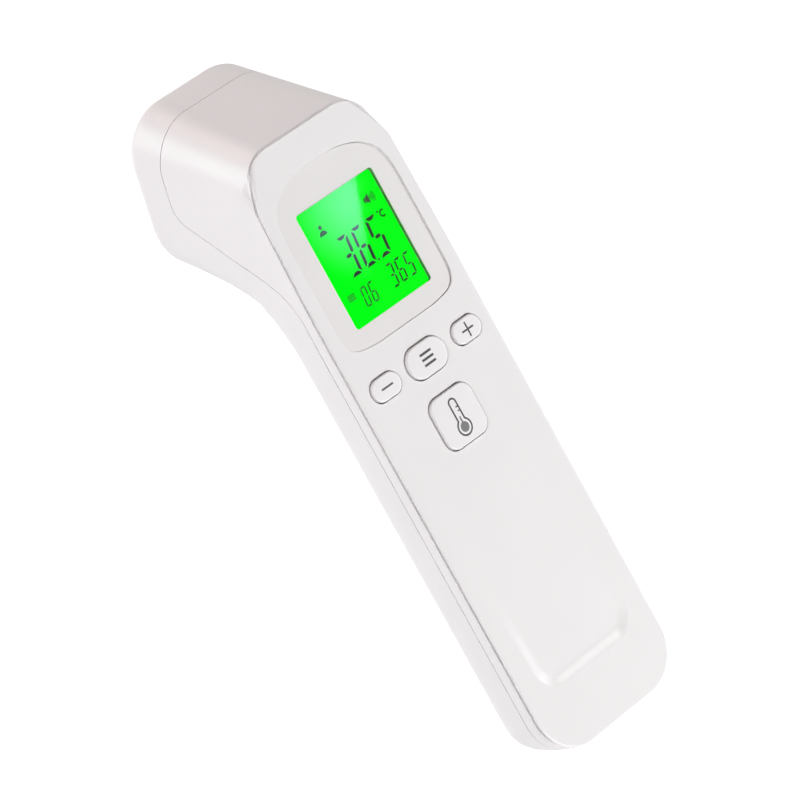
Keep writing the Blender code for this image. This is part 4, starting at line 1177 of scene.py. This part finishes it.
# Keys
def make_key(name, key):
    """Key with a rounded edge and a softly domed top, a flange under the cover and a foot."""
    centre, half, radius = key
    foot = (KEY_FOOT_RADIUS, KEY_FOOT_RADIUS)
    foot_corner = KEY_FOOT_RADIUS - KEY_FOOT_FLAT
    rings = [rounded_loop(foot, foot_corner, z, centre) for z in (KEY_FOOT, KEY_FLANGE_Z[0])]
    rings += [grown_loop(half, radius, KEY_FLANGE, z, centre) for z in KEY_FLANGE_Z]
    rings.append(grown_loop(half, radius, -GAP, KEY_FLANGE_Z[1], centre))
    shoulder = KEY_TOP - KEY_DOME - KEY_EDGE
    for step in range(EDGE_STEPS + 1):
        angle = math.radians(90.0 * step / EDGE_STEPS)
        inset = KEY_EDGE * (1.0 - math.cos(angle))
        rings.append(grown_loop(half, radius, -GAP - inset, shoulder + KEY_EDGE * math.sin(angle), centre))
    edge = rings[-1]
    for step in range(1, DOME_STEPS + 1):
        share = 1.0 - step / (DOME_STEPS + 0.5)
        z = KEY_TOP - KEY_DOME * share ** 2
        rings.append([(mix(centre[0], x, share), mix(centre[1], y, share), z) for x, y, _ in edge])
    dress(solid(name + "_cap", loft(rings)), "key_plastic", name + "_key", name + "_button")


def thermometer_sign():
    """Bulb thermometer: two scale marks, then the outer and inner line of its glass."""
    x, y = BULB_PLACE
    top = y + TUBE_TOP
    left, right = x - TUBE_RADIUS, x + TUBE_RADIUS
    neck = math.acos(TUBE_RADIUS / BULB_RADIUS)
    shoulder = y + BULB_RADIUS * math.sin(neck)
    opening = math.degrees(neck)
    glass = arc((x, y), BULB_RADIUS, 180.0 - opening, 360.0 + opening, BULB_STEPS)
    glass += straight((right, shoulder), (right, top))[1:]
    glass += arc((x, top), TUBE_RADIUS, 0.0, 180.0, SIGN_STEPS)[1:]
    glass += straight((left, top), (left, shoulder))[1:-1]
    walls = [shifted(glass, side * MARK_STROKE / 2.0, closed=True) for side in (1.0, -1.0)]
    heights = [top - drop for drop in TICK_DROPS]
    ticks = [drawn([(x + TICK_START, height), (right, height)], TICK_STROKE) for height in heights]
    return [*[(tick,) for tick in ticks], tuple(walls)]


def bulb_filling():
    """Liquid in the bulb and at the foot of the tube."""
    x, y = BULB_PLACE
    radius, half, top = FILLING
    column = [(x + half, y + top), (x - half, y + top)]
    return [(arc((x, y), radius, *FILLING_ARC, BULB_STEPS) + column,)]


def bars(*ends, stroke=MARK_STROKE):
    return [(drawn(straight(start, end), stroke),) for start, end in ends]


def make_mark(name, signs, finish="key_ink"):
    """Printed sign on a key, just proud of its dome."""
    centre, half, _ = KEYS[name]
    reach = [side - GAP - KEY_EDGE for side in half]

    def dome(x, y):
        return KEY_TOP - KEY_DOME * ((x / reach[0]) ** 2 + (y / reach[1]) ** 2)

    shape = joined([printed(dome, *sign) for sign in signs])
    mark = solid(f"{name}_{finish}", moved(shape, Matrix.Translation((*centre, 0.0))))
    dress(mark, finish, name + "_key", slot="key_plastic")


def make_keys():
    across = ((-CROSS_ARM, 0.0), (CROSS_ARM, 0.0))
    near = MARK_STROKE / 2.0
    half, pitch, stroke = MODE_BAR
    signs = {
        "minus": bars(across),
        "mode": bars(*[((-half, y), (half, y)) for y in (-pitch, 0.0, pitch)], stroke=stroke),
        "plus": bars(across, ((0.0, near), (0.0, CROSS_ARM)), ((0.0, -CROSS_ARM), (0.0, -near))),
        "measure": thermometer_sign(),
    }
    for name, key in KEYS.items():
        make_key(name, key)
        make_mark(name, signs[name])
    make_mark("measure", bulb_filling(), "key_ink_pale")


# Sensor, screw and cells
def make_sensor():
    for name, profile, finish in (("sensor_bezel", BEZEL_PROFILE, "bezel_black"),
                                  ("sensor_sleeve", SLEEVE_PROFILE, "brass"),
                                  ("sensor_filter", FILTER_PROFILE, "filter_dark")):
        piece = solid(name + "_skin", moved(turned(eased(profile, TURNED_EDGE)), SENSOR_FRAME))
        dress(piece, finish, "case", name)


def make_case_screw():
    head_radius, head_height, shank = CASE_SCREW
    front = COUNTERBORE[1] - GAP
    back = front - head_height
    crown = [(head_radius - inset, back + drop) for inset, drop in SCREW_CROWN]
    profile = ((0.0, back), *crown, (head_radius, front), (shank, front),
               (shank, CASE_SCREW_TIP), (0.0, CASE_SCREW_TIP))
    screw = solid("case_screw_skin", moved(turned(profile), Matrix.Translation((*CASE_SCREW_PLACE, 0.0))))
    reach = head_radius * SLOT_SHARE
    for half in ((reach, SLOT_WIDTH / 2.0), (SLOT_WIDTH / 2.0, reach)):
        combine(screw, "DIFFERENCE", block(half, CASE_SCREW_PLACE, (back - CUT_PAST, back + SLOT_DEPTH)))
    dress(screw, "screw_steel", "case", "case_screw")


def can(radius, low, high):
    """Side of a can with cut edges, as a (radius, height) profile."""
    return [(radius - CELL_EDGE, low), (radius, low + CELL_EDGE),
            (radius, high - CELL_EDGE), (radius - CELL_EDGE, high)]


def make_cell(name, x, start, upright):
    """Cell in its printed wrap, which folds over both ends round the metal."""
    body = CELL_LENGTH - NUB_LENGTH
    fold = CELL_RADIUS - WRAP_FOLD
    skin_radius = CELL_RADIUS - WRAP_SKIN
    band_start = body * WRAP_BAND
    outer = can(CELL_RADIUS, 0.0, body)
    lining = can(skin_radius, WRAP_SKIN, body - WRAP_SKIN)
    wrap = [(fold, 0.0), *outer[:2], (CELL_RADIUS, band_start), *outer[2:], (fold, body),
            (fold, body - WRAP_SKIN), *reversed(lining), (fold, WRAP_SKIN)]
    core_radius = skin_radius - CORE_FIT
    low = CORE_GAP
    high = body - CORE_GAP
    flare, sink = NUB_FLARE
    core = ((0.0, low), (skin_radius - CELL_EDGE, low), (core_radius, low + CELL_EDGE),
            (core_radius, high - CELL_EDGE), (skin_radius - CELL_EDGE, high),
            (NUB_RADIUS + flare, body - sink), (NUB_RADIUS, body + NUB_EDGE),
            (NUB_RADIUS, CELL_LENGTH - NUB_EDGE), (NUB_RADIUS - NUB_EDGE, CELL_LENGTH), (0.0, CELL_LENGTH))
    place = Matrix.Translation((x, start, CELL_Z)) @ ALONG_HANDLE
    if not upright:
        place = place @ Matrix.Translation((0.0, 0.0, CELL_LENGTH)) @ Matrix.Rotation(math.pi, 4, "X")
    cover = solid(name + "_wrap", moved(turned(wrap), place))
    for finish in ("cell_wrap", "cell_band"):
        cover.data.materials.append(finishes[finish])
    band_y = sorted((place @ Vector((0.0, 0.0, height))).y * MM for height in (band_start, CELL_LENGTH))
    for polygon in cover.data.polygons:
        if band_y[0] < polygon.center.y < band_y[1]:
            polygon.material_index = 1
    dress(cover, "cell_wrap", "case", name)
    metal = solid(name + "_core", moved(turned(core), place))
    dress(metal, "contact_steel", "case", name, slot="cell_wrap")


def finish_carried_nodes():
    """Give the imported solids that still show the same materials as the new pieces."""
    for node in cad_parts.values():
        for place in node.material_slots:
            name = place.material.name.split(".")[0]
            place.material = finishes[name]


# Camera, floor and light
def make_camera():
    data = bpy.data.cameras.new("camera")
    data.lens = CAMERA_LENS
    data.sensor_width = CAMERA_FILM
    data.clip_end = CAMERA_FAR
    camera = bpy.data.objects.new("camera", data)
    back = CAMERA_BACK.normalized()
    up = (CAMERA_UP - back * CAMERA_UP.dot(back)).normalized()
    right = up.cross(back)
    turn = Matrix((right, up, back)).transposed().to_4x4()
    camera.matrix_world = HANDLE_TO_WORLD @ Matrix.Translation(Vector(CAMERA_PLACE) * MM) @ turn
    bpy.context.scene.collection.objects.link(camera)
    bpy.context.scene.camera = camera


def make_floor():
    """Pale floor that glows a little, so that it stays white round the part."""
    surface = moulded("floor", [FLOOR_GREY] * 3, 0.9)
    surface.set(emission_color=(1.0, 1.0, 1.0, 1.0), emission_strength=FLOOR_GLOW, specular_ior_level=0.0)
    points = circle_loop(FLOOR_RADIUS / MM, FLOOR_DROP)
    floor = solid("floor", (points, [tuple(range(len(points)))]))
    floor.data.materials.append(surface.material)
    floor.visible_glossy = False


def aimed(compass, height):
    """Unit vector at a compass angle and a height above the floor, both in degrees."""
    around = math.radians(compass)
    above = math.radians(height)
    return Vector((math.cos(around) * math.cos(above), math.sin(around) * math.cos(above), math.sin(above)))


def make_lights():
    for name, (compass, height, size, power, colour) in LIGHTS.items():
        data = bpy.data.lights.new(name, "AREA")
        data.shape = "DISK"
        data.size = size
        data.energy = power
        data.color = colour
        light = bpy.data.objects.new(name, data)
        aim = aimed(compass, height)
        light.location = aim * LIGHT_DISTANCE
        light.rotation_euler = aim.to_track_quat("Z", "Y").to_euler()
        bpy.context.scene.collection.objects.link(light)


def make_world():
    """Dim sky over a bright ground, which gloss sees in place of the floor, with its brighter patch."""
    world = bpy.data.worlds.new("studio")
    nodes = Nodes(world)
    aim = nodes.add("TexCoord").outputs["Generated"]
    height = nodes.add("SeparateXYZ", vector=aim).outputs["Z"]
    level = nodes.add("MapRange", value=height, from_min=-HORIZON_FADE, from_max=HORIZON_FADE,
                      to_min=WORLD_BELOW, to_max=WORLD_ABOVE).outputs["Result"]
    facing = nodes.add("VectorMath", vector=aim)
    facing.operation = "DOT_PRODUCT"
    facing.inputs[1].default_value = aimed(*SWEEP_AIM)
    outer, inner = [math.cos(math.radians(reach)) for reach in SWEEP_REACH]
    patch = nodes.add("MapRange", value=facing.outputs["Value"], from_min=outer, from_max=inner)
    patch.interpolation_type = "SMOOTHSTEP"
    share = patch.outputs["Result"]
    total = nodes.add("Math", value=share)
    total.operation = "MULTIPLY_ADD"
    total.inputs[1].default_value = SWEEP_STRENGTH
    nodes.tree.links.new(level, total.inputs[2])
    nodes.feed(nodes.tree.nodes["Background"], strength=total.outputs["Value"],
               color=nodes.blend(share, (1.0, 1.0, 1.0), SWEEP_COLOUR))
    bpy.context.scene.world = world
    bpy.context.scene.view_settings.view_transform = "Standard"


def make_glare_card():
    """Small lit card over the face, whose mirror image lies on the upper left of the display."""
    reach = CARD_HEIGHT / (CAMERA_PLACE[2] - PANE_TOP)
    grow = 1.0 + reach
    place = Vector((-CAMERA_PLACE[0] * reach, -CAMERA_PLACE[1] * reach, PANE_TOP + CARD_HEIGHT)) * MM
    card = solid("glare_card", ([(x * grow, y * grow, 0.0) for x, y in CARD_OUTLINE], [(0, 1, 2, 3)]))
    card.matrix_world = HANDLE_TO_WORLD @ Matrix.Translation(place)
    surface = moulded("glare_card", (0.02, 0.02, 0.02), 0.9)
    centre = surface.add("Mapping", vector=surface.place, scale=[1.0 / (CARD_FADE * grow * MM)] * 3,
                         location=[-value / CARD_FADE for value in CARD_MIDDLE] + [0.0])
    fade = surface.add("TexGradient", vector=centre.outputs["Vector"])
    fade.gradient_type = "SPHERICAL"
    soft = surface.add("MapRange", value=fade.outputs["Fac"], to_max=CARD_STRENGTH)
    soft.interpolation_type = "SMOOTHSTEP"
    surface.set(emission_color=(*CARD_COLOUR, 1.0), emission_strength=soft.outputs["Result"],
                specular_ior_level=0.0)
    card.data.materials.append(surface.material)
    card.visible_camera = False


make_camera()
make_front_cover()
make_middle_housing()
make_rear_housing()
make_battery_door()
make_window()
make_display()
make_keys()
make_sensor()
make_case_screw()
make_cell("left_cell", -CELL_X, CELL_STARTS[0], True)
make_cell("right_cell", CELL_X, CELL_STARTS[1], False)
finish_carried_nodes()
make_floor()
make_lights()
make_world()
make_glare_card()
